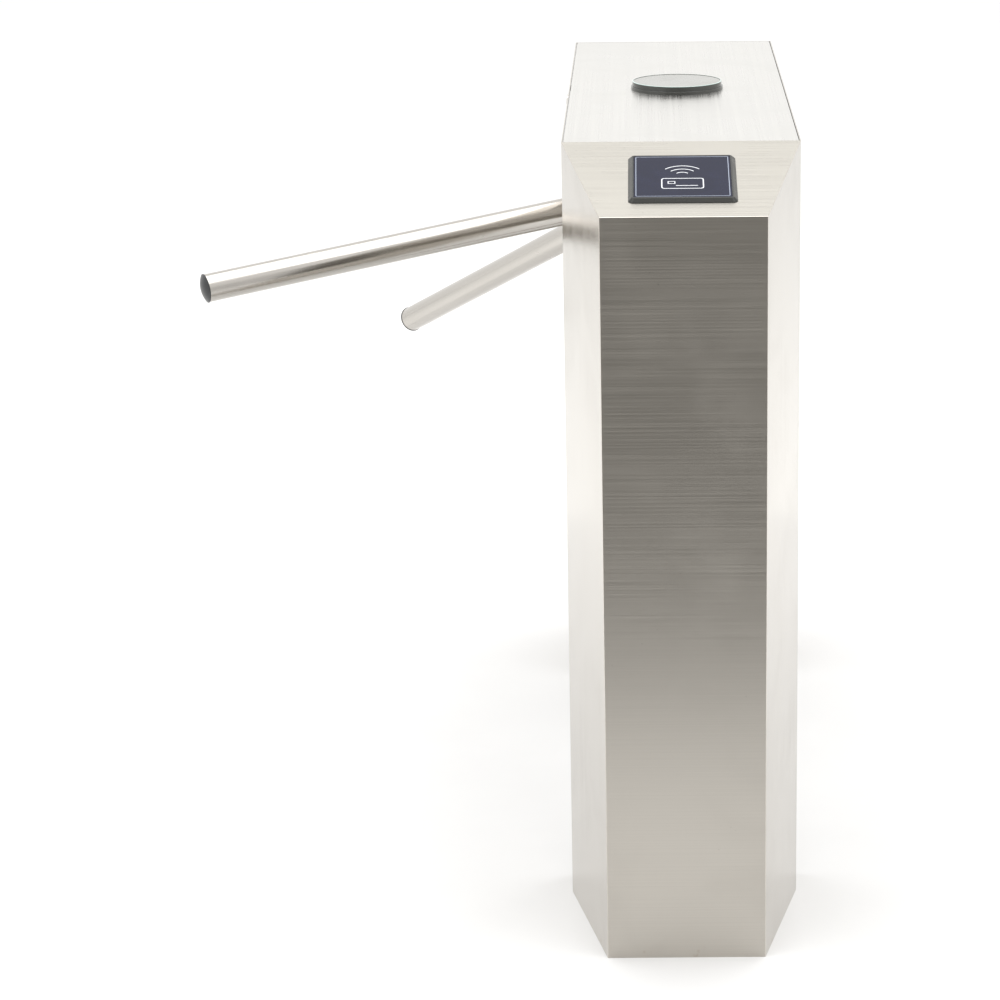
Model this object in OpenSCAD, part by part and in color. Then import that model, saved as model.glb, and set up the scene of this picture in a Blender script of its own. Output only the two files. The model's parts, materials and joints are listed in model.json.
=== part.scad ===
// Bridge-type tripod turnstile that counts and controls visitors.
// Millimetres. +Z up, +Y along the cabinet, +X away from the arms.
// Origin: middle of the cabinet's footprint, on the floor.

/* [Cabinet] */
// Overall length of the cabinet along Y
cab_len = 1300; // [1240:10:1600]
// Overall width of the cabinet along X
cab_w = 290; // [280:1:340]
// Overall height of the flat top
cab_h = 980; // [960:1:1100]
// Width of each narrow end face
end_w = 195; // [180:1:230]
// Length of the tapered end, which is also the run of the sloped panel
taper_len = 205; // [190:1:230]
// Height lost by the sloped panel over its run
slope_drop = 53; // [40:1:70]
// Length of each pedestal along Y
pedestal_len = 260; // [245:1:265]
// Thickness of the cabinet's sheet
sheet = 1.5; // [1.2:0.1:2]
// Height of the cabinet's left wall above the inclined hub plate
left_wall_h = 104; // [99:1:110]
// Height of the bridge box, top to underside
bridge_h = 240; // [235:1:260]

/* [Feet] */
// Thickness of the base plates
base_t = 6; // [4:1:10]
// Anchor hole radius
anchor_r = 7; // [6:0.5:8]
// Anchor hole spacing across the cabinet
anchor_dx = 130; // [110:1:140]
// Anchor hole spacing along each pedestal
anchor_dy = 110; // [90:1:130]
// Radius of the cable entry in each base plate
cable_r = 25; // [15:1:30]

/* [Top cover] */
// Gap between the cover and the walls around it
cover_gap = 0.8; // [0.6:0.1:1.2]
// Inset of the hinge axis from the cover's right edge
hinge_inset = 12; // [12:0.5:16]
// Depth of the hinge axis under the cover's top
hinge_depth = 4; // [3.8:0.1:4]
// Radius of the hinge pins
hinge_pin_r = 1.5; // [1:0.1:1.6]
// Running clearance between each pin and its hole
run_gap = 0.05; // [0.03:0.01:0.1]
// Width of the ledges that carry the cover
ledge_w = 15; // [10:1:20]

/* [Access panels] */
// Width of the opening behind each access panel
access_w = 170; // [120:1:200]
// Height of the opening's lower edge above the floor
access_low = 160; // [100:1:220]
// Height of the opening's upper edge above the floor
access_high = 560; // [400:1:640]

/* [Indicator] */
// Outer radius of the indicator's lower ring
lamp_base_r = 61.7; // [45:0.1:70]
// Outer radius of the indicator's upper disc
lamp_top_r = 59.8; // [43:0.1:68]
// Total height of the indicator above the cover
lamp_h = 10.8; // [8:0.1:16]
// Thickness of the indicator's outer wall
lens_wall = 1.4; // [1:0.1:8]
// Place of the indicator along Y
lamp_y = -17; // [-40:1:40]

/* [Card readers] */
// Side of the reader bezel where it meets the panel
reader_base = 128; // [100:1:140]
// Side of the reader's flat face
reader_face = 119; // [90:1:130]
// Height of the bezel above the panel
reader_h = 5; // [4:0.5:9]
// Distance of the reader's middle up the sloped panel
reader_up = 101; // [90:1:115]
// Depth of the reader case behind the panel
reader_deep = 20; // [15:1:30]
// Side of the reader case behind the panel
case_side = 110; // [96:1:112]

/* [Arms and hub] */
// Distance from the cabinet's left side to the point where the arms' axes meet
apex_inset = 105; // [102:1:107]
// Height below the cabinet's top of the point where the arms' axes meet
apex_below = 146; // [144:1:149]
// Tilt of the rotor axis from the vertical
axis_tilt = 45; // [45:1:45]
// Angle between each arm and the rotor axis
arm_cone = 45; // [44:0.5:45]
// Turn of the first arm around the axis, from straight out
first_arm = -38; // [-60:1:60]
// Distance from the meeting point to the tip of an arm
arm_reach = 641; // [560:1:650]
// Outer radius of an arm tube
arm_r = 18; // [15:0.5:19]
// Wall of an arm tube
arm_wall = 1.5; // [1:0.1:2]
// Height of the domed end cap
cap_dome = 6; // [3:0.5:9]
// Length of the hub's arm bosses from the meeting point
boss_end = 118; // [108:1:124]
// Radius of the hub's disc
hub_r = 74; // [66:1:78]

/* [Mechanism] */
// Radius of the main shaft
shaft_r = 15; // [12:0.5:16]
// Outer radius of the bearings
bearing_r = 31; // [28:0.5:35]
// Width of each bearing
bearing_w = 16; // [12:1:18]
// Thickness of the chassis plate
chassis_t = 10; // [6:1:12]
// Gear module
gear_m = 2; // [2:0.1:2.2]
// Teeth on the main gear
gear_z = 60; // [60:1:60]
// Teeth on the motor pinion
pinion_z = 20; // [20:1:20]
// Radius of the lock disc
lock_disc_r = 50; // [46:1:52]
// Number of slots in the lock disc
slot_n = 12; // [12:12:12]
// Depth of each slot
slot_deep = 9; // [7:0.5:11]

/* [Hidden] */
$fn = 64;

// Cabinet outline
half_len = cab_len / 2;
half_w = cab_w / 2;
apex_x = apex_inset - half_w;
half_end = end_w / 2;
bay_half = half_len - pedestal_len;
top_half = half_len - taper_len;
taper_x = half_w - half_end;
taper_hyp = sqrt(taper_x * taper_x + taper_len * taper_len);
slope_angle = atan(slope_drop / taper_len);
slope_rise = slope_drop / taper_len;

// Bridge box corners
left_low_z = cab_h - left_wall_h;
bridge_low_z = cab_h - bridge_h;
incline_sum = left_low_z - half_w;
knee_x = incline_sum - bridge_low_z;
corner_in = sheet * (sqrt(2) - 1);

// Openings inside the cabinet, and the middle of each base plate's holes
anchor_mid_y = -half_len + 130;
cable_pass = [160, 90];
case_cut = case_side + 2;
access_margin = 12;

// Rotor axis frame: local z points out along the axis, local x up and out, local y along +Y
apex_z = cab_h - apex_below;
plate_out = (apex_x + apex_z - incline_sum) * cos(45);
plate_in = plate_out - sheet;
chassis_in = plate_in - chassis_t;
bearing_back = chassis_in - 63;
disc_at = bearing_back - 34;
gear_at = disc_at - 20;
encoder_at = gear_at - 20;
shaft_end = encoder_at - 14;
hub_at = plate_out + 4;
shaft_tip = hub_at + 30;
lock_disc_t = 10;
boss_start = 92;
arm_screw_at = boss_end + 8;
chassis_half = [84, 150];
chassis_bolt = [72, 136];

// Cover
cover_half_w = half_w - sheet - cover_gap;
cover_half_len = top_half - 2;
cover_low = cab_h - sheet;
ledge_top = cover_low - 0.3;
hinge_x = cover_half_w - hinge_inset;
hinge_z = cab_h - hinge_depth;
knuckle_r = hinge_depth - sheet - 0.1;
hinge_ys = [-330, 0, 330];
knuckle_len = 16;
bracket_drop = 18;

// Lock on the left wall, near the middle
lock_y = -6;
lock_z = cab_h - 19;
lock_r = 9.5;
lock_proud = 4;
lock_deep = 12;
plug_deep = 14;
cam_t = 2.5;

// Pawls, in the rotor axis frame
pawl_x = 45;
pawl_y = lock_disc_r + 6;
pawl_t = 8;
pawl_pin_r = 4;
bar_low = lock_disc_r + 14;
bar_high = bar_low + 12;
tooth_w = 8;
tooth_gap = 3;
plunger_x = -8;
plunger_r = 5;
solenoid_y = bar_high + 18;
post_at = disc_at + lock_disc_t + 3;

// Gears
gear_r = gear_m * gear_z / 2;
pinion_r = gear_m * pinion_z / 2;
motor_turn = 135;

steel = "gainsboro";
bright = "silver";
dark = "dimgray";
glossy_black = "black";
zinc = "lightsteelblue";
board_green = "seagreen";

// ---------------------------------------------------------------- frames
module on_axis() {
  translate([apex_x, 0, apex_z]) rotate([0, 180 + axis_tilt, 0]) children();
}

module on_arm(n) {
  on_axis() rotate([0, 0, first_arm + 120 * n]) rotate([0, arm_cone, 0]) children();
}

module on_slope() {
  translate([0, -half_len, cab_h - slope_drop]) rotate([slope_angle, 0, 0]) children();
}

module on_reader() {
  on_slope() translate([0, reader_up, 0]) children();
}

module rear_side() {
  mirror([0, 1, 0]) children();
}

module along_y(len) {
  rotate([90, 0, 0]) linear_extrude(len, center = true) children();
}

module along_x(len) {
  rotate([90, 0, 90]) linear_extrude(len, center = true) children();
}

module round_square(side, r) {
  half = side / 2 - r;
  union() {
    square([side - 2 * r, side], center = true);
    square([side, side - 2 * r], center = true);
    for (x = [-half, half], y = [-half, half]) translate([x, y]) circle(r, $fn = 24);
  }
}

// ---------------------------------------------------------------- cabinet
// Plan of one tapered end, inset by t, with its inner end at y_end
module taper_plan(t, y_end) {
  end_x = half_end - t * (taper_hyp - taper_x) / taper_len;
  bend_y = -top_half + t * (taper_hyp - taper_len) / taper_x;
  polygon([
    [-end_x, -half_len + t], [end_x, -half_len + t],
    [half_w - t, bend_y], [half_w - t, y_end],
    [-half_w + t, y_end], [-half_w + t, bend_y]
  ]);
}

module pedestal_outer() {
  intersection() {
    linear_extrude(cab_h) taper_plan(0, -bay_half);
    along_x(2 * cab_w) polygon([
      [-half_len, 0], [-half_len, cab_h - slope_drop], [-top_half, cab_h],
      [-bay_half, cab_h], [-bay_half, 0]
    ]);
  }
}

module pedestal_inner() {
  drop = sheet / cos(slope_angle);
  end_y = -half_len + sheet;
  lip_y = -top_half + 1;
  intersection() {
    translate([0, 0, -1]) linear_extrude(cab_h + 2) taper_plan(sheet, -bay_half - sheet);
    along_x(2 * cab_w) polygon([
      [end_y, -1], [end_y, cab_h - drop + (end_y + top_half) * slope_rise],
      [lip_y, cab_h - drop + (lip_y + top_half) * slope_rise], [lip_y, cab_h + 1],
      [-bay_half - sheet, cab_h + 1], [-bay_half - sheet, -1]
    ]);
  }
}

module pedestal() {
  color(steel) difference() {
    pedestal_outer();
    pedestal_inner();
    // opening behind the access panel
    translate([-access_w / 2, -bay_half - 5, access_low])
      cube([access_w, 10, access_high - access_low]);
    // cable pass into the bridge
    translate([40 - cable_pass[0] / 2, -bay_half - 5, cab_h - 50 - cable_pass[1]])
      cube([cable_pass[0], 10, cable_pass[1]]);
    // clear the bay wall's top edge from under the cover
    translate([-half_w + sheet, -bay_half - 5, cab_h - 30]) cube([2 * (half_w - sheet), 10, 40]);
    // cut-out for the reader case
    on_reader() cube([case_cut, case_cut, 20], center = true);
  }
}

module front_pedestal() { pedestal(); }

module rear_pedestal() { rear_side() pedestal(); }

module bridge_profile() {
  polygon([
    [-half_w, cab_h], [-half_w, left_low_z], [knee_x, bridge_low_z],
    [half_w, bridge_low_z], [half_w, cab_h], [half_w - sheet, cab_h],
    [half_w - sheet, bridge_low_z + sheet], [knee_x + corner_in, bridge_low_z + sheet],
    [-half_w + sheet, left_low_z + corner_in], [-half_w + sheet, cab_h]
  ]);
}

module bridge_housing() {
  color(steel) difference() {
    along_y(2 * bay_half) bridge_profile();
    // hub opening in the inclined plate
    on_axis() translate([0, 0, plate_in - 5]) cylinder(r = shaft_r + 12, h = 12);
    chassis_bolt_places() translate([0, 0, plate_in - 5]) cylinder(r = 3.3, h = 12, $fn = 24);
    // lock hole in the left wall
    translate([-half_w - 1, lock_y, lock_z]) rotate([0, 90, 0]) cylinder(r = lock_r + 0.1, h = 5);
  }
}

module base_plate() {
  color(zinc) difference() {
    linear_extrude(base_t) taper_plan(sheet + 0.2, -bay_half - sheet - 0.2);
    for (x = [-1, 1], y = [-1, 1])
      translate([x * anchor_dx / 2, anchor_mid_y + y * anchor_dy / 2, -1])
        cylinder(r = anchor_r, h = base_t + 2);
    translate([0, anchor_mid_y, -1]) cylinder(r = cable_r, h = base_t + 2);
  }
}

module front_base_plate() { base_plate(); }

module rear_base_plate() { rear_side() base_plate(); }

module earth_studs() {
  color("goldenrod") for (side = [-1, 1])
    translate([45, side * (half_len - 45), base_t]) {
      cylinder(r = 6, h = 4, $fn = 6);
      cylinder(r = 3, h = 22, $fn = 24);
    }
}

module cover_ledges() {
  color(zinc) {
    // long ledge on the left wall, notched for the lock
    difference() {
      translate([-half_w + sheet, 0, 0]) along_y(2 * cover_half_len) polygon([
        [0, ledge_top - 8], [sheet, ledge_top - 8], [sheet, ledge_top - sheet],
        [ledge_w, ledge_top - sheet], [ledge_w, ledge_top], [0, ledge_top]
      ]);
      translate([-half_w, lock_y - 14, ledge_top - 20]) cube([30, 50, 30]);
    }
    // short ledges across each end, fixed under the sloped panels
    for (side = [0, 1]) mirror([0, side, 0]) translate([0, 1 - top_half, 0])
      along_x(2 * half_w - 90) polygon([
        [-3, ledge_top - 10], [-3 + sheet, ledge_top - 10], [-3 + sheet, ledge_top - sheet],
        [ledge_w, ledge_top - sheet], [ledge_w, ledge_top], [-1, ledge_top - 0.1],
        [-3, cab_h - sheet / cos(slope_angle) - 2 * slope_rise]
      ]);
  }
}

module access_panel() {
  margin = access_margin;
  color(steel) difference() {
    translate([-access_w / 2 - margin, -bay_half, access_low - margin])
      cube([access_w + 2 * margin, sheet, access_high - access_low + 2 * margin]);
    panel_screw_places() translate([0, 0, -5]) cylinder(r = 2.2, h = 10, $fn = 24);
  }
}

module panel_screw_places() {
  inset = access_margin / 2;
  for (x = [-1, 1], z = [access_low - inset, access_high + inset])
    translate([x * (access_w / 2 + inset), -bay_half, z]) rotate([-90, 0, 0]) children();
}

module front_access_panel() { access_panel(); }

module rear_access_panel() { rear_side() access_panel(); }

module access_panel_screws() {
  color(bright) for (side = [0, 1]) mirror([0, side, 0]) panel_screw_places() {
    cylinder(r = 2, h = sheet, $fn = 24);
    translate([0, 0, sheet]) cylinder(r1 = 4, r2 = 2.6, h = 2, $fn = 32);
  }
}

// ---------------------------------------------------------------- cover and hinge
module top_cover() {
  color(steel) {
    difference() {
      translate([-cover_half_w, -cover_half_len, cover_low])
        cube([2 * cover_half_w, 2 * cover_half_len, sheet]);
      translate([0, lamp_y, cover_low - 1]) cylinder(r = 20, h = 5);
    }
    // stiffening ribs under the cover
    for (y = [-240, 240]) translate([-70, y - 10, cover_low - 8]) difference() {
      cube([140, 20, 8]);
      translate([-1, sheet, -1]) cube([142, 20 - 2 * sheet, 9 - sheet]);
    }
  }
}

// Leaves fixed under the cover, with the middle knuckle of each hinge
module cover_hinge_leaves() {
  color(bright) for (y = hinge_ys) translate([0, y, 0]) difference() {
    union() {
      translate([hinge_x, 0, hinge_z]) rotate([90, 0, 0])
        cylinder(r = knuckle_r, h = knuckle_len, center = true, $fn = 48);
      translate([hinge_x - 30, -knuckle_len / 2, cover_low - sheet])
        cube([30, knuckle_len, sheet]);
    }
    translate([hinge_x, 0, hinge_z]) rotate([90, 0, 0])
      cylinder(r = hinge_pin_r + run_gap, h = knuckle_len + 2, center = true, $fn = 48);
  }
}

// Brackets from the right wall, reaching under the cover's edge to the outer knuckles
module bracket_profile() {
  wall_x = half_w - sheet;
  low_z = hinge_z - bracket_drop;
  polygon([
    [hinge_x - knuckle_r, hinge_z], [hinge_x - knuckle_r, low_z],
    [wall_x, low_z], [wall_x, low_z + 2.5],
    [hinge_x - knuckle_r + 2.5, low_z + 2.5], [hinge_x - knuckle_r + 2.5, hinge_z]
  ]);
}

module cover_hinge_brackets() {
  side_y = knuckle_len + 0.3;
  color(bright) for (y = hinge_ys, k = [-1, 1]) translate([0, y + k * side_y, 0])
    difference() {
      union() {
        along_y(knuckle_len) bracket_profile();
        translate([hinge_x, 0, hinge_z]) rotate([90, 0, 0])
          cylinder(r = knuckle_r, h = knuckle_len, center = true, $fn = 48);
      }
      translate([hinge_x, 0, hinge_z]) rotate([90, 0, 0])
        cylinder(r = hinge_pin_r, h = knuckle_len + 2, center = true, $fn = 48);
    }
}

module cover_hinge_pins() {
  color(dark) for (y = hinge_ys) translate([hinge_x, y, hinge_z]) rotate([90, 0, 0])
    cylinder(r = hinge_pin_r, h = 3 * knuckle_len, center = true, $fn = 48);
}

// Hook under the cover that the lock's cam holds down
module cover_catch() {
  hook_x = -half_w + plug_deep + 0.5;
  color(zinc) translate([hook_x, lock_y + 8, 0]) {
    translate([6, 0, lock_z - 14]) cube([2, 18, cover_low - lock_z + 14]);
    translate([0, 0, lock_z - 14]) cube([8, 18, 3]);
    translate([6, 0, cover_low - 2]) cube([14, 18, 2]);
  }
}

// ---------------------------------------------------------------- lock
module lock_body() {
  color(bright) translate([-half_w, lock_y, lock_z]) rotate([0, 90, 0]) difference() {
    union() {
      translate([0, 0, -lock_proud]) cylinder(r1 = lock_r, r2 = lock_r + 1.5, h = lock_proud);
      cylinder(r = lock_r, h = lock_deep);
      translate([0, 0, sheet]) cylinder(r = lock_r + 4, h = 3, $fn = 6);
    }
    translate([0, 0, -lock_proud - 1]) cylinder(r = 6 + run_gap, h = lock_deep + lock_proud + 2);
  }
}

module lock_plug() {
  color("gold") translate([-half_w, lock_y, lock_z]) rotate([0, 90, 0]) difference() {
    translate([0, 0, -lock_proud]) cylinder(r = 6, h = plug_deep + lock_proud);
    translate([-4, -0.6, -lock_proud - 1]) cube([8, 1.2, 9]);
  }
}

module lock_cam() {
  color(zinc) translate([-half_w + plug_deep, lock_y, lock_z]) {
    rotate([0, 90, 0]) cylinder(r = 6, h = cam_t);
    translate([0, -4, 0]) cube([cam_t, 8, 14]);
  }
}

// ---------------------------------------------------------------- indicator
module indicator_base() {
  color(glossy_black) translate([0, lamp_y, cab_h]) difference() {
    cylinder(r = lamp_base_r, h = lamp_h * 0.4, $fn = 128);
    translate([0, 0, -1]) cylinder(r = 20, h = lamp_h);
  }
}

module indicator_lens() {
  low = lamp_h * 0.4;
  color(glossy_black) translate([0, lamp_y, cab_h + low]) difference() {
    cylinder(r = lamp_top_r, h = lamp_h - low, $fn = 128);
    translate([0, 0, -1]) cylinder(r = lamp_top_r - lens_wall, h = lamp_h - low + 2, $fn = 128);
  }
}

module indicator_cap() {
  low = lamp_h * 0.4;
  color("lightgray") translate([0, lamp_y, cab_h + low])
    cylinder(r = lamp_top_r - lens_wall, h = lamp_h - low - 0.4, $fn = 128);
}

module indicator_board() {
  color(board_green) translate([0, lamp_y, 0]) {
    translate([-40, -24, cover_low - 8]) cube([80, 48, 1.6]);
    for (x = [-34, 34], y = [-18, 18])
      translate([x, y, cover_low - 6.4]) cylinder(r = 3, h = 6.4, $fn = 24);
    translate([0, 0, cover_low - 6.4]) cylinder(r = 12, h = 9, $fn = 32);
  }
}

// ---------------------------------------------------------------- card readers
module reader_bezel() {
  window = reader_face - 4;
  color(dark) on_reader() difference() {
    hull() {
      linear_extrude(0.5) round_square(reader_base, 6);
      translate([0, 0, reader_h - 0.5]) linear_extrude(0.5) round_square(reader_face, 3);
    }
    translate([0, 0, reader_h - 2.5]) linear_extrude(3) square(window, center = true);
    translate([0, 0, -1]) linear_extrude(10) square(window - 12, center = true);
  }
}

module reader_face_plate() {
  window = reader_face - 4;
  color("midnightblue") on_reader() translate([0, 0, reader_h - 2.5])
    linear_extrude(2.4) square(window - 0.4, center = true);
}

module reader_case() {
  color(dark) on_reader() translate([0, 0, -reader_deep]) difference() {
    linear_extrude(reader_deep) square(case_side, center = true);
    translate([0, 0, 2]) linear_extrude(reader_deep) square(case_side - 4, center = true);
  }
}

module reader_board() {
  color(board_green) on_reader() {
    translate([0, 0, -8]) linear_extrude(1.6) square(98, center = true);
    for (x = [-44, 44], y = [-44, 44])
      translate([x, y, 2 - reader_deep]) cylinder(r = 3, h = reader_deep - 10, $fn = 24);
    translate([0, 0, -6.4]) linear_extrude(2) difference() {
      square(84, center = true);
      square(76, center = true);
    }
  }
}

module front_reader_bezel() { reader_bezel(); }

module front_reader_face() { reader_face_plate(); }

module front_reader_case() { reader_case(); }

module front_reader_board() { reader_board(); }

module rear_reader_bezel() { rear_side() reader_bezel(); }

module rear_reader_face() { rear_side() reader_face_plate(); }

module rear_reader_case() { rear_side() reader_case(); }

module rear_reader_board() { rear_side() reader_board(); }

// ---------------------------------------------------------------- rotor
module hub() {
  color(bright) difference() {
    union() {
      on_axis() translate([0, 0, hub_at]) rotate_extrude($fn = 96) polygon([
        [0, 0], [hub_r - 2, 0], [hub_r, 2], [hub_r, 14], [hub_r - 10, 30],
        [40, 44], [0, 44]
      ]);
      for (n = [0, 1, 2]) on_arm(n) {
        translate([0, 0, boss_start]) cylinder(r = arm_r + 2, h = boss_end - boss_start);
        translate([0, 0, boss_end - 10]) cylinder(r = arm_r - arm_wall, h = 45);
      }
    }
    on_axis() translate([0, 0, hub_at - 1]) cylinder(r = shaft_r, h = shaft_tip - hub_at + 1);
    on_axis() translate([0, 0, hub_at + 42]) cylinder(r = 20, h = 30);
    for (n = [0, 1, 2]) on_arm(n) translate([0, 0, arm_screw_at]) rotate([0, 90, 0])
      cylinder(r = 2.5, h = arm_r + 5, $fn = 24);
  }
}

module hub_cap() {
  color(bright) on_axis() translate([0, 0, hub_at + 42]) rotate_extrude($fn = 64) polygon([
    [0, 0], [20, 0], [20, 6], [17, 9], [10, 11], [0, 11.6]
  ]);
}

module arm_tube(n) {
  color(bright) on_arm(n) difference() {
    translate([0, 0, boss_end]) cylinder(r = arm_r, h = arm_reach - cap_dome - boss_end);
    translate([0, 0, boss_end - 1]) cylinder(r = arm_r - arm_wall, h = arm_reach);
    translate([0, 0, arm_screw_at]) rotate([0, 90, 0])
      cylinder(r = 2.5, h = arm_r + 5, $fn = 24);
  }
}

module arm_tube_1() { arm_tube(0); }

module arm_tube_2() { arm_tube(1); }

module arm_tube_3() { arm_tube(2); }

module arm_end_caps() {
  color(dark) for (n = [0, 1, 2]) on_arm(n) translate([0, 0, arm_reach - cap_dome])
    rotate_extrude($fn = 64) polygon([
      [0, -22], [arm_r - arm_wall, -22], [arm_r - arm_wall, 0], [arm_r + 0.6, 0],
      [arm_r + 0.6, 1.4], [arm_r * 0.86, cap_dome * 0.5], [arm_r * 0.6, cap_dome * 0.82],
      [arm_r * 0.3, cap_dome * 0.96], [0, cap_dome]
    ]);
}

module arm_screws() {
  color(dark) for (n = [0, 1, 2]) on_arm(n) translate([0, 0, arm_screw_at]) rotate([0, 90, 0]) {
    cylinder(r = 2.4, h = arm_r, $fn = 24);
    translate([0, 0, arm_r]) cylinder(r1 = 4.5, r2 = 3.2, h = 2, $fn = 32);
  }
}

module main_shaft() {
  color("lightgray") on_axis() translate([0, 0, shaft_end])
    cylinder(r = shaft_r, h = shaft_tip - shaft_end);
}

module shaft_nut() {
  color(zinc) on_axis() translate([0, 0, encoder_at - 8]) difference() {
    cylinder(r = shaft_r + 8, h = 8, $fn = 6);
    translate([0, 0, -1]) cylinder(r = shaft_r, h = 10);
  }
}

module lock_disc() {
  color(zinc) on_axis() translate([0, 0, disc_at]) difference() {
    union() {
      cylinder(r = lock_disc_r, h = lock_disc_t, $fn = 96);
      cylinder(r = shaft_r + 8, h = lock_disc_t + 20);
    }
    translate([0, 0, -1]) cylinder(r = shaft_r, h = lock_disc_t + 22);
    for (i = [0 : slot_n - 1]) rotate([0, 0, i * 360 / slot_n])
      translate([lock_disc_r - slot_deep, -6.5, -1]) cube([slot_deep + 2, 13, lock_disc_t + 2]);
  }
}

function tooth(z, m, i, turn) = let(
    r = m * z / 2, p = 360 / z, a = i * p + turn,
    root = r - 1.3 * m, tip = r + 0.85 * m
  ) [
    [root * cos(a - 0.27 * p), root * sin(a - 0.27 * p)],
    [tip * cos(a - 0.11 * p), tip * sin(a - 0.11 * p)],
    [tip * cos(a + 0.11 * p), tip * sin(a + 0.11 * p)],
    [root * cos(a + 0.27 * p), root * sin(a + 0.27 * p)]
  ];

module toothed(z, m, turn) {
  polygon([for (i = [0 : z - 1]) each tooth(z, m, i, turn)]);
}

module main_gear() {
  color("darkgray") on_axis() translate([0, 0, gear_at]) difference() {
    union() {
      linear_extrude(8) toothed(gear_z, gear_m, motor_turn);
      cylinder(r = shaft_r + 8, h = 20);
    }
    translate([0, 0, -1]) cylinder(r = shaft_r, h = 22);
    for (i = [0 : 5]) rotate([0, 0, i * 60 + 30]) translate([38, 0, -1]) cylinder(r = 9, h = 10);
  }
}

module encoder_disc() {
  color(dark) on_axis() translate([0, 0, encoder_at]) difference() {
    union() {
      cylinder(r = 34, h = 2);
      cylinder(r = shaft_r + 6, h = 20);
    }
    translate([0, 0, -1]) cylinder(r = shaft_r, h = 22);
    for (i = [0 : 11]) rotate([0, 0, i * 30]) translate([26, -1.5, -1]) cube([5, 3, 4]);
  }
}

// ---------------------------------------------------------------- mechanism
module chassis_bolt_places() {
  on_axis() for (x = [-1, 1], y = [-1, 1])
    translate([x * chassis_bolt.x, y * chassis_bolt.y, 0]) children();
}

module mechanism_chassis() {
  color("darkgray") difference() {
    on_axis() union() {
      translate([-chassis_half.x, -chassis_half.y, chassis_in])
        cube([2 * chassis_half.x, 2 * chassis_half.y, chassis_t]);
      translate([0, 0, bearing_back]) cylinder(r = bearing_r + 9, h = chassis_in - bearing_back + 1);
      // posts that carry the pawl pins and the solenoids
      for (k = [-1, 1]) {
        translate([pawl_x - 9, k * pawl_y - 9, post_at]) cube([18, 18, chassis_in - post_at]);
        translate([plunger_x - 14, k * (solenoid_y + 25) - 25, disc_at + 15 + 2])
          cube([28, 50, 6]);
        translate([plunger_x - 14, k * (solenoid_y + 36) - 6, disc_at + 17])
          cube([28, 12, chassis_in - disc_at - 17]);
      }
      // post for the encoder sensor
      translate([-78, -6, encoder_at - 6]) cube([12, 12, chassis_in - encoder_at + 6]);
    }
    on_axis() {
      translate([0, 0, bearing_back - 1]) cylinder(r = shaft_r + 9, h = 90);
      translate([0, 0, plate_in - bearing_w - 3]) cylinder(r = bearing_r, h = bearing_w + 4);
      translate([0, 0, bearing_back - 1]) cylinder(r = bearing_r, h = bearing_w + 1);
      for (k = [-1, 1]) translate([pawl_x, k * pawl_y, post_at - 1])
        cylinder(r = pawl_pin_r, h = 11);
    }
    chassis_bolt_places() translate([0, 0, chassis_in - 1])
      cylinder(r = 3.3, h = chassis_t + 2, $fn = 24);
  }
}

module chassis_bolts() {
  color(zinc) chassis_bolt_places() {
    translate([0, 0, chassis_in]) cylinder(r = 3.2, h = plate_out - chassis_in, $fn = 24);
    translate([0, 0, chassis_in - 5]) cylinder(r = 6.5, h = 5, $fn = 6);
    translate([0, 0, plate_out]) cylinder(r1 = 6, r2 = 4.5, h = 2.5, $fn = 32);
  }
}

module bearing() {
  rotate_extrude() polygon([
    [shaft_r + run_gap, 0], [shaft_r + 4, 0], [shaft_r + 4.5, 1], [bearing_r - 4.5, 1],
    [bearing_r - 4, 0], [bearing_r - 0.02, 0], [bearing_r - 0.02, bearing_w],
    [bearing_r - 4, bearing_w], [bearing_r - 4.5, bearing_w - 1],
    [shaft_r + 4.5, bearing_w - 1], [shaft_r + 4, bearing_w], [shaft_r + run_gap, bearing_w]
  ]);
}

module front_bearing() {
  color("lightgray") on_axis() translate([0, 0, plate_in - bearing_w - 3]) bearing();
}

module rear_bearing() {
  color("lightgray") on_axis() translate([0, 0, bearing_back]) bearing();
}

module at_motor() {
  on_axis() rotate([0, 0, motor_turn]) translate([gear_r + pinion_r, 0, 0]) children();
}

module drive_motor() {
  color(dark) at_motor() difference() {
    union() {
      translate([0, 0, gear_at + 14]) cylinder(r = 22, h = chassis_in - gear_at - 14);
      translate([0, 0, gear_at + 12]) cylinder(r = 10, h = 4);
    }
    translate([0, 0, gear_at + 11]) cylinder(r = 5 + run_gap, h = 30);
  }
}

module motor_pinion() {
  color("gold") at_motor() rotate([0, 0, -motor_turn]) {
    translate([0, 0, gear_at - 1])
      linear_extrude(10) toothed(pinion_z, gear_m, motor_turn + 180 + 180 / pinion_z);
    translate([0, 0, gear_at + 5]) cylinder(r = 5, h = 30);
  }
}

module pawl(k) {
  color("slategray") on_axis() mirror([0, k < 0 ? 1 : 0, 0]) translate([0, 0, disc_at + 1])
    difference() {
      union() {
        translate([pawl_x, pawl_y, 0]) cylinder(r = 8, h = pawl_t);
        translate([pawl_x - 8, pawl_y, 0]) cube([16, bar_high - pawl_y, pawl_t]);
        translate([plunger_x - 6, bar_low, 0])
          cube([pawl_x - plunger_x + 14, bar_high - bar_low, pawl_t]);
        translate([-tooth_w / 2, lock_disc_r + tooth_gap, 0])
          cube([tooth_w, bar_high - lock_disc_r - tooth_gap, pawl_t]);
      }
      translate([pawl_x, pawl_y, -1]) cylinder(r = pawl_pin_r + run_gap, h = pawl_t + 2);
    }
}

module left_pawl() { pawl(-1); }

module right_pawl() { pawl(1); }

module pawl_pins() {
  color(bright) on_axis() for (k = [-1, 1]) translate([pawl_x, k * pawl_y, disc_at - 2]) {
    cylinder(r = pawl_pin_r, h = post_at - disc_at + 12);
    translate([0, 0, -2]) cylinder(r = pawl_pin_r + 2, h = 2.5, $fn = 32);
  }
}

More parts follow.
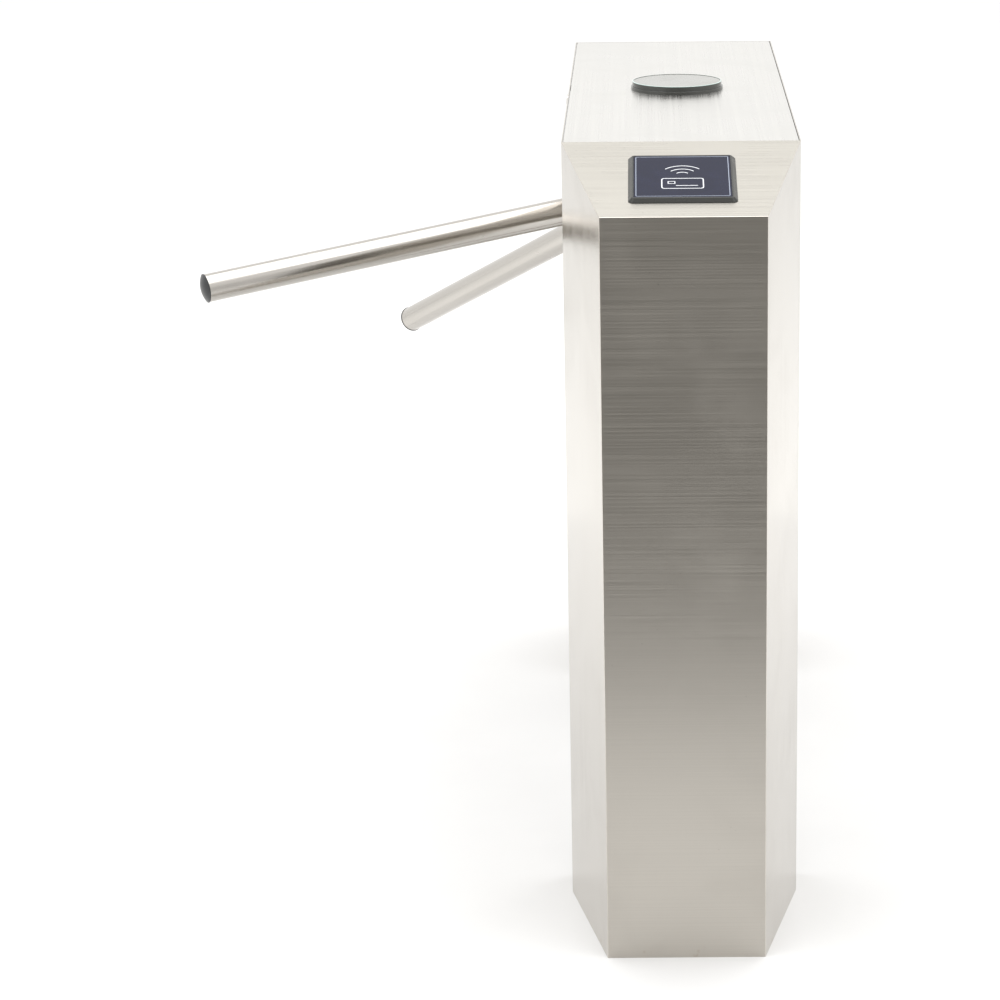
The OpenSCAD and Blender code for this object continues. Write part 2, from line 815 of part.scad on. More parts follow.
module solenoid(k) {
  color("saddlebrown") on_axis() translate([plunger_x, 0, disc_at + 5])
    mirror([0, k < 0 ? 1 : 0, 0]) difference() {
      translate([-12, solenoid_y, -12]) cube([24, 50, 24]);
      translate([0, solenoid_y - 1, 0]) rotate([-90, 0, 0])
        cylinder(r = plunger_r + run_gap, h = 42);
    }
}

module left_solenoid() { solenoid(-1); }

module right_solenoid() { solenoid(1); }

module plunger(k) {
  tip_gap = 1.2;
  tip_y = bar_high + tip_gap;
  color("lightgray") on_axis() translate([plunger_x, 0, disc_at + 5])
    mirror([0, k < 0 ? 1 : 0, 0]) translate([0, tip_y, 0]) rotate([-90, 0, 0]) {
      translate([0, 0, 3]) cylinder(r = plunger_r, h = solenoid_y + 26 - tip_y);
      cylinder(r1 = 2.5, r2 = plunger_r, h = 3);
    }
}

module left_plunger() { plunger(-1); }

module right_plunger() { plunger(1); }

module encoder_sensor() {
  color("black") on_axis() translate([-66, -6, encoder_at - 6]) difference() {
    cube([40, 12, 14]);
    translate([26, -1, 4]) cube([16, 14, 6]);
  }
}

module control_board() {
  color(board_green) translate([half_w - sheet, 0, cab_h]) {
    translate([-10, 150, -190]) cube([1.6, 180, 130]);
    for (y = [160, 320], z = [-180, -70]) translate([-8.4, y, z]) rotate([0, 90, 0])
      cylinder(r = 3, h = 8.4, $fn = 24);
    for (y = [165, 205, 245]) translate([-22, y, -180]) cube([12, 30, 16]);
    translate([-18, 190, -130]) cube([8, 40, 40]);
  }
}

module power_supply() {
  color("lightgray") translate([20, -330, bridge_low_z + sheet]) cube([100, 160, 42]);
}

front_pedestal();
rear_pedestal();
bridge_housing();
front_base_plate();
rear_base_plate();
cover_ledges();
front_access_panel();
rear_access_panel();
access_panel_screws();
cover_hinge_brackets();
cover_hinge_pins();
lock_body();
front_reader_bezel();
front_reader_face();
front_reader_case();
front_reader_board();
rear_reader_bezel();
rear_reader_face();
rear_reader_case();
rear_reader_board();
mechanism_chassis();
chassis_bolts();
front_bearing();
rear_bearing();
drive_motor();
left_solenoid();
right_solenoid();
pawl_pins();
encoder_sensor();
control_board();
power_supply();
earth_studs();
top_cover();
cover_hinge_leaves();
cover_catch();
indicator_base();
indicator_lens();
indicator_cap();
indicator_board();
lock_plug();
lock_cam();
hub();
hub_cap();
arm_tube_1();
arm_tube_2();
arm_tube_3();
arm_end_caps();
arm_screws();
main_shaft();
lock_disc();
main_gear();
encoder_disc();
shaft_nut();
motor_pinion();
left_pawl();
right_pawl();
left_plunger();
right_plunger();
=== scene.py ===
"""Bridge-type tripod turnstile: finished surfaces and small details over the CAD part.

The frame is in metres: +Z up, +Y along the cabinet, +X away from the arms, and the floor at z = 0.
"""

import json
import math

import bmesh
import bpy
from mathutils import Matrix, Vector

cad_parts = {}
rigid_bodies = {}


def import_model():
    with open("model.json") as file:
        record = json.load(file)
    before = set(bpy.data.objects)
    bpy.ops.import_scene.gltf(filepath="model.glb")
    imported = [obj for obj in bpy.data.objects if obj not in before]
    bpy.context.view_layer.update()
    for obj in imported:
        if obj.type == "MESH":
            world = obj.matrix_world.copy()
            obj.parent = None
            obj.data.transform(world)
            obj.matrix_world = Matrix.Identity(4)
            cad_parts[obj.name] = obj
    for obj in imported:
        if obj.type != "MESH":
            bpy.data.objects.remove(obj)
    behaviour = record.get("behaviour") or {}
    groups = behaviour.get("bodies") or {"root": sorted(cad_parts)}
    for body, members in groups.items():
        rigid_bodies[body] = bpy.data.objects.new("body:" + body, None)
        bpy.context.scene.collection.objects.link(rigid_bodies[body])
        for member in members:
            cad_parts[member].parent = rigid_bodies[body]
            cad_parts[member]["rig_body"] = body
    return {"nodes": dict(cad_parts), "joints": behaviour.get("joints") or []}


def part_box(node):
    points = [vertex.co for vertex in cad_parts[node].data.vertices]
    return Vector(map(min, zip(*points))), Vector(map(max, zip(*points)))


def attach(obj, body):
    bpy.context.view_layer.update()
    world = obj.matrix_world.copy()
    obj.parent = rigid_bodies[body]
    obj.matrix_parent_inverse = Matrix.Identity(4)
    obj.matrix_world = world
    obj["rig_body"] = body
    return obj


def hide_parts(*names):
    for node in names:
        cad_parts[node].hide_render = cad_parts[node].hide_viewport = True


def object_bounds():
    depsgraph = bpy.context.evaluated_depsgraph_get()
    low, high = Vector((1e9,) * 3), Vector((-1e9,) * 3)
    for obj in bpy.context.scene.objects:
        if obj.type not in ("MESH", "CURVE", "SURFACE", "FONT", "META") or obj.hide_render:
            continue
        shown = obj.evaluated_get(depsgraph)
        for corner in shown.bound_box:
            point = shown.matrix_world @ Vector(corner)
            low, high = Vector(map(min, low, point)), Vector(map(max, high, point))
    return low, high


bl_info = {
    "name": "Tripod Turnstile",
    "version": (1, 0, 0),
    "blender": (4, 5, 0),
    "location": "3D View > Sidebar > Turnstile",
    "description": "Builds the finished surfaces of a bridge-type tripod turnstile and its studio",
    "category": "Object",
}

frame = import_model()
CAD_LOW, CAD_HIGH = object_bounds()

MM = 0.001
WELD = 0.00001
FLAT_ANGLE = math.radians(1)
SHARP_ANGLE = math.radians(28)
SMOOTH_ANGLE = math.radians(35)
ENDS = ("front", "rear")
ARM_COUNT = 3
LATHE_STEPS = 160
SHORTEST_CABINET_FOLD = 30 * MM
SHORTEST_BRIDGE_FOLD = 400 * MM
RIM_DEPTH = 10 * MM


# ---------------------------------------------------------------- settings
def colour_setting(name, description, default):
    """A colour in a settings group."""
    return bpy.props.FloatVectorProperty(
        name=name, description=description, default=default, size=3, subtype="COLOR", min=0, max=1
    )


def length_setting(name, description, default, low, high):
    """A length in a settings group, held between two limits."""
    return bpy.props.FloatProperty(
        name=name, description=description, default=default, min=low, max=high, unit="LENGTH"
    )


class TurnstileFinish(bpy.types.PropertyGroup):
    """Colours and surface values of the turnstile. The end, side, slope and top colours are one
    steel. Part of their difference is painted light and shade: each tone was set to how bright its
    face looks under the light, and the cover is lightest.
    """

    end_colour: colour_setting(
        "End steel", "Colour of the hairline steel on the two end faces", (0.52, 0.492, 0.447)
    )
    side_colour: colour_setting(
        "Side steel", "Colour of the smoother steel on the walls", (0.556, 0.527, 0.483)
    )
    slope_colour: colour_setting(
        "Slope steel", "Colour of the steel on the sloped panels", (0.531, 0.51, 0.463)
    )
    top_colour: colour_setting(
        "Top steel", "Colour of the steel on the cover", (0.684, 0.676, 0.651)
    )
    tube_colour: colour_setting(
        "Tube steel", "Colour of the polished arm tubes", (0.52, 0.497, 0.464)
    )
    panel_colour: colour_setting(
        "Reader panel", "Colour of the card readers' glossy panel", (0.006, 0.008, 0.026)
    )
    print_colour: colour_setting(
        "Reader print", "Colour of the sign printed on the card readers", (0.8, 0.82, 0.85)
    )


class TurnstileSizes(bpy.types.PropertyGroup):
    """Sizes of the small details that the finished pieces add."""

    fold_radius: length_setting(
        "Fold radius", "Radius of the cabinet's folded corners", 2.2 * MM, 0.5 * MM, 4 * MM
    )
    cut_radius: length_setting(
        "Cut edge radius", "Radius left on cut sheet edges", 0.35 * MM, 0.1 * MM, 1 * MM
    )
    machined_radius: length_setting(
        "Machined edge radius", "Radius on machined and moulded edges", 0.5 * MM, 0.1 * MM, 2 * MM
    )
    print_line: length_setting(
        "Print line", "Width of the lines printed on the card readers", 1.3 * MM, 0.3 * MM, 3 * MM
    )
    print_height: length_setting(
        "Print height", "Thickness of the print on the card readers", 0.08 * MM, 0.02 * MM, 0.5 * MM
    )


class TurnstileStudio(bpy.types.PropertyGroup):
    """The studio around the turnstile."""

    floor_colour: colour_setting(
        "Floor", "Colour of the floor", (0.9, 0.9, 0.895)
    )
    # A darker square of floor round the turnstile. It darkens the floor seen in the steel's
    # reflections low down.
    floor_patch_colour: colour_setting(
        "Darker floor patch", "Colour of the darker floor patch round the turnstile", (0.79, 0.79, 0.79)
    )
    floor_patch_half: length_setting(
        "Half patch width", "Half the width of the darker floor patch", 0.87, 0.4, 5
    )
    floor_patch_beyond: length_setting(
        "Patch beyond", "How far the darker floor patch goes on behind the turnstile", 0.5, 0.1, 5
    )
    room_light: bpy.props.FloatProperty(
        name="Room light",
        description="Brightness of the white room",
        default=1.16,
        min=0,
        max=5,
    )
    room_dim: bpy.props.FloatProperty(
        name="Dim end",
        description="Brightness of the room's dim end, in front of the turnstile",
        default=0.2,
        min=0,
        max=5,
    )
    top_light: bpy.props.FloatProperty(
        name="Top light",
        description="Power of the wide light over the turnstile",
        default=150,
        min=0,
        max=1000,
        unit="POWER",
    )
    camera_place: bpy.props.FloatVectorProperty(
        name="Camera",
        description="Where the camera stands",
        default=(-0.0451, -4.0921, 1.5927),
        size=3,
        subtype="TRANSLATION",
        unit="LENGTH",
    )
    camera_tilt: bpy.props.FloatProperty(
        name="Camera tilt",
        description="How far the camera looks down",
        default=math.radians(16.3),
        subtype="ANGLE",
        unit="ROTATION",
    )
    camera_roll: bpy.props.FloatProperty(
        name="Camera roll",
        description="How far the camera leans",
        default=math.radians(-0.45),
        subtype="ANGLE",
        unit="ROTATION",
    )
    camera_lens: bpy.props.FloatProperty(
        name="Lens",
        description="Focal length of the camera, in millimetres",
        default=109.37,
        min=10,
        max=500,
    )
    camera_shift: bpy.props.FloatVectorProperty(
        name="Shift",
        description="Sideways and upward shift of the camera's frame",
        default=(-0.1466, 0.002),
        size=2,
        min=-1,
        max=1,
    )


# ---------------------------------------------------------------- node helpers
def new_material(name):
    """A material, its node tree and its shader."""
    material = bpy.data.materials.new(name)
    material.use_nodes = True
    tree = material.node_tree
    return material, tree, tree.nodes["Principled BSDF"]


def new_group(name, inputs, outputs):
    """A shader group with its input and output nodes. Each socket is (name, type, default)."""
    tree = bpy.data.node_groups.new(name, "ShaderNodeTree")
    for title, kind, default in inputs:
        socket = tree.interface.new_socket(title, in_out="INPUT", socket_type=kind)
        if default is not None:
            socket.default_value = default
    for title, kind in outputs:
        tree.interface.new_socket(title, in_out="OUTPUT", socket_type=kind)
    return tree, tree.nodes.new("NodeGroupInput"), tree.nodes.new("NodeGroupOutput")


def place_group(tree, group, **values):
    """The group as a node in a tree, with its values set."""
    node = tree.nodes.new("ShaderNodeGroup")
    node.node_tree = group
    for title, value in values.items():
        node.inputs[title.replace("_", " ")].default_value = value
    return node


def surface_place(tree, own_attribute=None):
    """The surface's place: the piece's own attribute, or its object coordinates."""
    if own_attribute:
        source = tree.nodes.new("ShaderNodeAttribute")
        source.attribute_name = own_attribute
        return source.outputs["Vector"]
    return tree.nodes.new("ShaderNodeTexCoord").outputs["Object"]


def noise(tree, vector, scale, detail=3.0, roughness=0.5):
    """A noise texture's value."""
    node = tree.nodes.new("ShaderNodeTexNoise")
    node.inputs["Scale"].default_value = scale
    node.inputs["Detail"].default_value = detail
    node.inputs["Roughness"].default_value = roughness
    tree.links.new(vector, node.inputs["Vector"])
    return node.outputs["Fac"]


def remap(tree, value, from_low, from_high, to_low, to_high):
    """The value moved from one range to another, and held inside it."""
    node = tree.nodes.new("ShaderNodeMapRange")
    node.interpolation_type = "SMOOTHSTEP"
    for title, number in (
        ("From Min", from_low),
        ("From Max", from_high),
        ("To Min", to_low),
        ("To Max", to_high),
    ):
        node.inputs[title].default_value = number
    tree.links.new(value, node.inputs["Value"])
    return node.outputs["Result"]


def math_node(tree, operation, first, second):
    """One maths step. Each side is a socket or a number."""
    node = tree.nodes.new("ShaderNodeMath")
    node.operation = operation
    for socket, value in zip(node.inputs, (first, second)):
        if isinstance(value, (int, float)):
            socket.default_value = value
        else:
            tree.links.new(value, socket)
    return node.outputs["Value"]


def blend_colours(tree, factor, first, second):
    """Two colours mixed by a factor. Each colour is a socket or four numbers."""
    node = tree.nodes.new("ShaderNodeMix")
    node.data_type = "RGBA"
    tree.links.new(factor, node.inputs["Factor"])
    for title, value in (("A", first), ("B", second)):
        socket = next(s for s in node.inputs if s.name == title and s.type == "RGBA")
        if isinstance(value, (tuple, list)):
            socket.default_value = value
        else:
            tree.links.new(value, socket)
    return next(s for s in node.outputs if s.type == "RGBA")


def scaled_place(tree, vector, stretch):
    """The place multiplied by a stretch on each axis."""
    node = tree.nodes.new("ShaderNodeVectorMath")
    node.operation = "MULTIPLY"
    tree.links.new(vector, node.inputs[0])
    tree.links.new(stretch, node.inputs[1])
    return node.outputs["Vector"]


def bump(tree, shader, height, distance):
    """Relief from a height, on the shader's normal."""
    node = tree.nodes.new("ShaderNodeBump")
    node.inputs["Distance"].default_value = distance
    node.inputs["Strength"].default_value = 1.0
    tree.links.new(height, node.inputs["Height"])
    tree.links.new(node.outputs["Normal"], shader.inputs["Normal"])


def shade(colour, factor):
    """A colour made lighter or darker, with alpha."""
    return tuple(min(1.0, channel * factor) for channel in colour[:3]) + (1.0,)


# ---------------------------------------------------------------- shared effects
def hairline_group():
    """Fine parallel lines left by brushing: their height, and their tone."""
    tree, given, made = new_group(
        "hairline_grain",
        [("Place", "NodeSocketVector", None), ("Lines", "NodeSocketVector", (20, 20, 2500))],
        [("Height", "NodeSocketFloat"), ("Tone", "NodeSocketFloat")],
    )
    stretched = scaled_place(tree, given.outputs["Place"], given.outputs["Lines"])
    fine = noise(tree, stretched, 1.0, 2.0, 0.6)
    broad = noise(tree, stretched, 0.16, 2.0, 0.55)
    tree.links.new(fine, made.inputs["Height"])
    mixed = math_node(tree, "ADD", math_node(tree, "MULTIPLY", fine, 0.5), broad)
    tree.links.new(remap(tree, mixed, 0.5, 1.0, 0, 1), made.inputs["Tone"])
    return tree


def handling_group():
    """Marks of use: soft smudges from hands and cloths, and small dull specks."""
    tree, given, made = new_group(
        "handling_marks",
        [("Place", "NodeSocketVector", None), ("Size", "NodeSocketFloat", 0.12)],
        [("Smudge", "NodeSocketFloat"), ("Speck", "NodeSocketFloat")],
    )
    spread = math_node(tree, "DIVIDE", 1.0, given.outputs["Size"])
    patch = tree.nodes.new("ShaderNodeTexNoise")
    patch.inputs["Detail"].default_value = 4
    patch.inputs["Distortion"].default_value = 0.6
    tree.links.new(given.outputs["Place"], patch.inputs["Vector"])
    tree.links.new(spread, patch.inputs["Scale"])
    tree.links.new(remap(tree, patch.outputs["Fac"], 0.42, 0.68, 0, 1), made.inputs["Smudge"])
    dots = tree.nodes.new("ShaderNodeTexVoronoi")
    dots.inputs["Scale"].default_value = 70
    tree.links.new(given.outputs["Place"], dots.inputs["Vector"])
    speck = remap(tree, dots.outputs["Distance"], 0.03, 0.1, 1, 0)
    sparse = remap(tree, noise(tree, given.outputs["Place"], 9), 0.56, 0.66, 0, 1)
    tree.links.new(math_node(tree, "MULTIPLY", speck, sparse), made.inputs["Speck"])
    return tree


def edge_group():
    """A mask of rounded edges, from the piece's own edge attribute, broken up along its length. The
    finishes paint these edges lighter: partly rubbed wear, partly a painted highlight.
    """
    tree, given, made = new_group(
        "rubbed_and_highlighted_edge",
        [("Place", "NodeSocketVector", None), ("Cover", "NodeSocketFloat", 0.8)],
        [("Mask", "NodeSocketFloat")],
    )
    edge = tree.nodes.new("ShaderNodeAttribute")
    edge.attribute_name = "edge_wear_and_painted_highlight"
    broken = remap(tree, noise(tree, given.outputs["Place"], 60), 0.3, 0.55, 0.4, 1)
    rub_and_highlight = math_node(tree, "MULTIPLY", edge.outputs["Fac"], broken)
    covered = math_node(tree, "MULTIPLY", rub_and_highlight, given.outputs["Cover"])
    tree.links.new(covered, made.inputs["Mask"])
    return tree


def foot_stain_group():
    """Dull brownish staining close to the floor, where washing the floor wets a cabinet."""
    tree, given, made = new_group(
        "foot_stain",
        [("Place", "NodeSocketVector", None), ("Height", "NodeSocketFloat", 0.03)],
        [("Mask", "NodeSocketFloat")],
    )
    parts = tree.nodes.new("ShaderNodeSeparateXYZ")
    tree.links.new(given.outputs["Place"], parts.inputs["Vector"])
    rise = math_node(tree, "DIVIDE", parts.outputs["Z"], given.outputs["Height"])
    near = remap(tree, rise, 0.0, 1.0, 1, 0)
    patchy = remap(tree, noise(tree, given.outputs["Place"], 60, 5), 0.6, 0.85, 0, 1)
    tree.links.new(math_node(tree, "MULTIPLY", near, patchy), made.inputs["Mask"])
    return tree


def turned_group():
    """Fine rings left by turning, about the Z axis of the piece's own place."""
    tree, given, made = new_group(
        "turned_rings",
        [("Place", "NodeSocketVector", None), ("Rings", "NodeSocketFloat", 3000)],
        [("Height", "NodeSocketFloat"), ("Tone", "NodeSocketFloat")],
    )
    parts = tree.nodes.new("ShaderNodeSeparateXYZ")
    tree.links.new(given.outputs["Place"], parts.inputs["Vector"])
    flat = tree.nodes.new("ShaderNodeCombineXYZ")
    tree.links.new(parts.outputs["X"], flat.inputs["X"])
    tree.links.new(parts.outputs["Y"], flat.inputs["Y"])
    length = tree.nodes.new("ShaderNodeVectorMath")
    length.operation = "LENGTH"
    tree.links.new(flat.outputs["Vector"], length.inputs[0])
    ring = tree.nodes.new("ShaderNodeCombineXYZ")
    radius = math_node(tree, "MULTIPLY", length.outputs["Value"], given.outputs["Rings"])
    depth = math_node(tree, "MULTIPLY", parts.outputs["Z"], given.outputs["Rings"])
    tree.links.new(radius, ring.inputs["X"])
    tree.links.new(depth, ring.inputs["Y"])
    fine = noise(tree, ring.outputs["Vector"], 1.0, 2.0)
    tree.links.new(fine, made.inputs["Height"])
    broad = noise(tree, ring.outputs["Vector"], 0.08, 1.0)
    tree.links.new(remap(tree, broad, 0.3, 0.7, 0, 1), made.inputs["Tone"])
    return tree


# ---------------------------------------------------------------- materials
def steel(name, colour, lines, rough, relief, edge_rub_and_shine=0.8, stain=False):
    """Brushed sheet steel: hairlines, smudges, edges painted lighter as rubbed wear and as a
    painted highlight and, low down, some staining.
    """
    material, tree, shader = new_material(name)
    place = surface_place(tree)
    grain = place_group(tree, effects["hairline"], Lines=lines)
    marks = place_group(tree, effects["handling"])
    edge = place_group(tree, effects["edge"], Cover=edge_rub_and_shine)
    for node in (grain, marks, edge):
        tree.links.new(place, node.inputs["Place"])
    base = blend_colours(tree, grain.outputs["Tone"], shade(colour, 0.965), shade(colour, 1.03))
    dulled = math_node(tree, "MULTIPLY", marks.outputs["Smudge"], 0.25)
    base = blend_colours(tree, dulled, base, shade(colour, 0.9))
    base = blend_colours(tree, marks.outputs["Speck"], base, shade(colour, 0.72))
    # Rounded edges painted lighter: partly rubbed wear, partly a painted highlight.
    base = blend_colours(tree, edge.outputs["Mask"], base, shade(colour, 1.3))
    if stain:
        low = place_group(tree, effects["foot_stain"])
        tree.links.new(place, low.inputs["Place"])
        base = blend_colours(tree, low.outputs["Mask"], base, (0.3, 0.2, 0.13, 1))
    tree.links.new(base, shader.inputs["Base Color"])
    spread = remap(tree, grain.outputs["Tone"], 0, 1, rough * 0.88, rough * 1.12)
    smudged = math_node(tree, "MULTIPLY", marks.outputs["Smudge"], rough * 0.12)
    dull = math_node(tree, "ADD", spread, smudged)
    bright = math_node(tree, "MULTIPLY", edge.outputs["Mask"], -0.3 * rough)
    tree.links.new(math_node(tree, "ADD", dull, bright), shader.inputs["Roughness"])
    shader.inputs["Metallic"].default_value = 1.0
    bump(tree, shader, grain.outputs["Height"], relief)
    return material


def turned_metal(name, colour, rough, rings=2600):
    """Metal finished on a lathe, with rings about the piece's own axis."""
    material, tree, shader = new_material(name)
    place = surface_place(tree, own_attribute="own_place")
    rings_node = place_group(tree, effects["turned"], Rings=rings)
    marks = place_group(tree, effects["handling"], Size=0.05)
    edge = place_group(tree, effects["edge"])
    for node in (rings_node, marks, edge):
        tree.links.new(place, node.inputs["Place"])
    base = blend_colours(tree, rings_node.outputs["Tone"], shade(colour, 0.9), shade(colour, 1.06))
    # Rounded edges painted lighter: partly rubbed wear, partly a painted highlight.
    base = blend_colours(tree, edge.outputs["Mask"], base, shade(colour, 1.25))
    tree.links.new(base, shader.inputs["Base Color"])
    spread = remap(tree, rings_node.outputs["Tone"], 0, 1, rough * 0.85, rough * 1.1)
    smudged = math_node(tree, "MULTIPLY", marks.outputs["Smudge"], rough * 0.4)
    tree.links.new(math_node(tree, "ADD", spread, smudged), shader.inputs["Roughness"])
    shader.inputs["Metallic"].default_value = 1.0
    bump(tree, shader, rings_node.outputs["Height"], 0.00001)
    return material


def tube_steel(name, colour, rough):
    """Polished drawn tube: faint streaks along its length and soft smudges."""
    material, tree, shader = new_material(name)
    place = surface_place(tree, own_attribute="own_place")
    grain = place_group(tree, effects["hairline"], Lines=(900, 900, 14))
    marks = place_group(tree, effects["handling"], Size=0.07)
    edge = place_group(tree, effects["edge"])
    for node in (grain, marks, edge):
        tree.links.new(place, node.inputs["Place"])
    base = blend_colours(tree, grain.outputs["Tone"], shade(colour, 0.96), shade(colour, 1.04))
    # Rounded edges painted lighter: partly rubbed wear, partly a painted highlight.
    base = blend_colours(tree, edge.outputs["Mask"], base, shade(colour, 1.2))
    tree.links.new(base, shader.inputs["Base Color"])
    spread = remap(tree, grain.outputs["Tone"], 0, 1, rough * 0.9, rough * 1.15)
    smudged = math_node(tree, "MULTIPLY", marks.outputs["Smudge"], rough * 0.35)
    tree.links.new(math_node(tree, "ADD", spread, smudged), shader.inputs["Roughness"])
    shader.inputs["Metallic"].default_value = 1.0
    bump(tree, shader, grain.outputs["Height"], 0.000008)
    return material


def plated_zinc(name, colour, rough):
    """Zinc-plated steel, with its faint crystal patches."""
    material, tree, shader = new_material(name)
    place = surface_place(tree)
    marks = place_group(tree, effects["handling"], Size=0.04)
    edge = place_group(tree, effects["edge"])
    for node in (marks, edge):
        tree.links.new(place, node.inputs["Place"])
    cells = tree.nodes.new("ShaderNodeTexVoronoi")
    cells.inputs["Scale"].default_value = 130
    tree.links.new(place, cells.inputs["Vector"])
    tone = tree.nodes.new("ShaderNodeSeparateColor")
    tree.links.new(cells.outputs["Color"], tone.inputs["Color"])
    base = blend_colours(tree, tone.outputs["Red"], shade(colour, 0.88), shade(colour, 1.08))
    # Rounded edges painted lighter: partly rubbed wear, partly a painted highlight.
    base = blend_colours(tree, edge.outputs["Mask"], base, shade(colour, 1.25))
    tree.links.new(base, shader.inputs["Base Color"])
    spread = remap(tree, tone.outputs["Green"], 0, 1, rough * 0.85, rough * 1.15)
    smudged = math_node(tree, "MULTIPLY", marks.outputs["Smudge"], rough * 0.3)
    tree.links.new(math_node(tree, "ADD", spread, smudged), shader.inputs["Roughness"])
    shader.inputs["Metallic"].default_value = 1.0
    bump(tree, shader, noise(tree, place, 900, 2), 0.00001)
    return material


def moulded(name, colour, rough, texture_scale, relief, coat=0.0, metallic=0.0):
    """Moulded plastic, rubber or cast metal with a fine even texture and slight handling marks."""
    material, tree, shader = new_material(name)
    place = surface_place(tree)
    marks = place_group(tree, effects["handling"], Size=0.06)
    edge = place_group(tree, effects["edge"], Cover=0.5)
    for node in (marks, edge):
        tree.links.new(place, node.inputs["Place"])
    texture = noise(tree, place, texture_scale, 2.0)
    tone = remap(tree, texture, 0.35, 0.65, 0, 1)
    base = blend_colours(tree, tone, shade(colour, 0.88), shade(colour, 1.12))
    # Rounded edges painted lighter: partly scuffed wear, partly a painted highlight.
    base = blend_colours(tree, edge.outputs["Mask"], base, shade(colour, 1.5))
    tree.links.new(base, shader.inputs["Base Color"])
    spread = remap(tree, marks.outputs["Smudge"], 0, 1, rough * 0.9, rough * 1.2)
    tree.links.new(spread, shader.inputs["Roughness"])
    shader.inputs["Metallic"].default_value = metallic
    shader.inputs["Coat Weight"].default_value = coat
    shader.inputs["Coat Roughness"].default_value = 0.08
    bump(tree, shader, texture, relief)
    return material


def circuit_board(name):
    """Green board with copper tracks under the lacquer and pale solder pads."""
    material, tree, shader = new_material(name)
    place = surface_place(tree)
    tracks = tree.nodes.new("ShaderNodeTexVoronoi")
    tracks.distance = "CHEBYCHEV"
    tracks.feature = "F2"
    tracks.inputs["Scale"].default_value = 150
    tree.links.new(place, tracks.inputs["Vector"])
    line = remap(tree, tracks.outputs["Distance"], 0.52, 0.58, 0, 1)
    pads = tree.nodes.new("ShaderNodeTexVoronoi")
    pads.inputs["Scale"].default_value = 210
    tree.links.new(place, pads.inputs["Vector"])
    pad = remap(tree, pads.outputs["Distance"], 0.16, 0.2, 1, 0)
    base = blend_colours(tree, line, (0.01, 0.09, 0.035, 1), (0.03, 0.2, 0.07, 1))
    base = blend_colours(tree, pad, base, (0.62, 0.6, 0.55, 1))
    tree.links.new(base, shader.inputs["Base Color"])
    tree.links.new(remap(tree, pad, 0, 1, 0.3, 0.22), shader.inputs["Roughness"])
    tree.links.new(pad, shader.inputs["Metallic"])
    bump(tree, shader, math_node(tree, "ADD", line, pad), 0.00004)
    return material


def glossy_panel(name, colour, rough, shine=0.5):
    """Glossy dark panel with a faint film of dust and wiping."""
    material, tree, shader = new_material(name)
    place = surface_place(tree)
    marks = place_group(tree, effects["handling"], Size=0.03)
    tree.links.new(place, marks.inputs["Place"])
    dust = noise(tree, place, 1400, 2.0)
    film = math_node(tree, "MULTIPLY", marks.outputs["Smudge"], remap(tree, dust, 0.4, 0.7, 0.2, 1))
    thin = math_node(tree, "MULTIPLY", film, 0.25)
    base = blend_colours(tree, thin, shade(colour, 1.0), shade(colour, 2.6))
    tree.links.new(base, shader.inputs["Base Color"])
    tree.links.new(remap(tree, film, 0, 1, rough, rough + 0.12), shader.inputs["Roughness"])
    shader.inputs["Specular IOR Level"].default_value = shine
    bump(tree, shader, noise(tree, place, 18, 1.0), 0.00006)
    return material


def make_materials():
    """Every finish, by its key."""
    finish = bpy.context.scene.turnstile_finish
    end, side = finish.end_colour, finish.side_colour
    slope, top = finish.slope_colour, finish.top_colour
    return {
        # Painted light and shade: the end, side, slope and top tones are one steel, each set to its
        # face's brightness. The brushing and roughness differ for real.
        "end_steel": steel("end_hairline_steel", end, (9, 9, 3600), 0.36, 0.000007, stain=True),
        "side_steel": steel("side_steel", side, (1800, 1800, 12), 0.2, 0.000003, stain=True),
        "slope_steel": steel("slope_steel", slope, (9, 3600, 3600), 0.3, 0.000002),
        "top_steel": steel("top_steel", top, (3600, 9, 9), 0.3, 0.000004),
        "fold_steel": steel("fold_steel", side, (40, 40, 300), 0.2, 0.000003, edge_rub_and_shine=0.5),
        "bridge_steel": steel("bridge_steel", side, (9, 9, 3600), 0.26, 0.000005),
        "tube": tube_steel("tube_steel", finish.tube_colour, 0.19),
        "hub": turned_metal("hub_chrome", (0.74, 0.72, 0.69), 0.17),
        "machined": turned_metal("machined_steel", (0.56, 0.55, 0.53), 0.3),
        "screw": turned_metal("screw_steel", (0.5, 0.5, 0.49), 0.26, 4000),
        "brass": turned_metal("turned_brass", (0.72, 0.5, 0.2), 0.28),
        "zinc": plated_zinc("zinc_plate", (0.6, 0.61, 0.62), 0.36),
        "alloy": moulded("cast_alloy", (0.5, 0.5, 0.5), 0.5, 700, 0.0001, metallic=0.9),
        "plastic": moulded("black_plastic", (0.025, 0.025, 0.027), 0.42, 1100, 0.00004),
        "bezel": moulded("bezel_plastic", (0.02, 0.021, 0.018), 0.3, 1300, 0.00001),
        "rubber": moulded("cap_rubber", (0.022, 0.023, 0.025), 0.34, 800, 0.00003),
        "coil": moulded("coil_tape", (0.3, 0.16, 0.05), 0.45, 500, 0.00003),
        "board": circuit_board("circuit_board"),
        "panel": glossy_panel("reader_panel", finish.panel_colour, 0.16, 0.14),
        # The indicator ring's colour is lifted above black: partly its own dark grey, partly a
        # painted sheen for the highlights it lacks.
        "lamp": glossy_panel("lamp_gloss", (0.055, 0.057, 0.053), 0.07),
        "lamp_cap": moulded("lamp_cap", (0.232, 0.232, 0.214), 0.2, 900, 0.000003),
        "rim": moulded("lamp_rim", (0.45, 0.6, 0.56), 0.2, 900, 0.000006, coat=0.8),
        "print": moulded("reader_print", finish.print_colour, 0.4, 1500, 0.000006),
        "line": moulded("reader_line", (0.34, 0.38, 0.47), 0.4, 1500, 0.000006),
    }


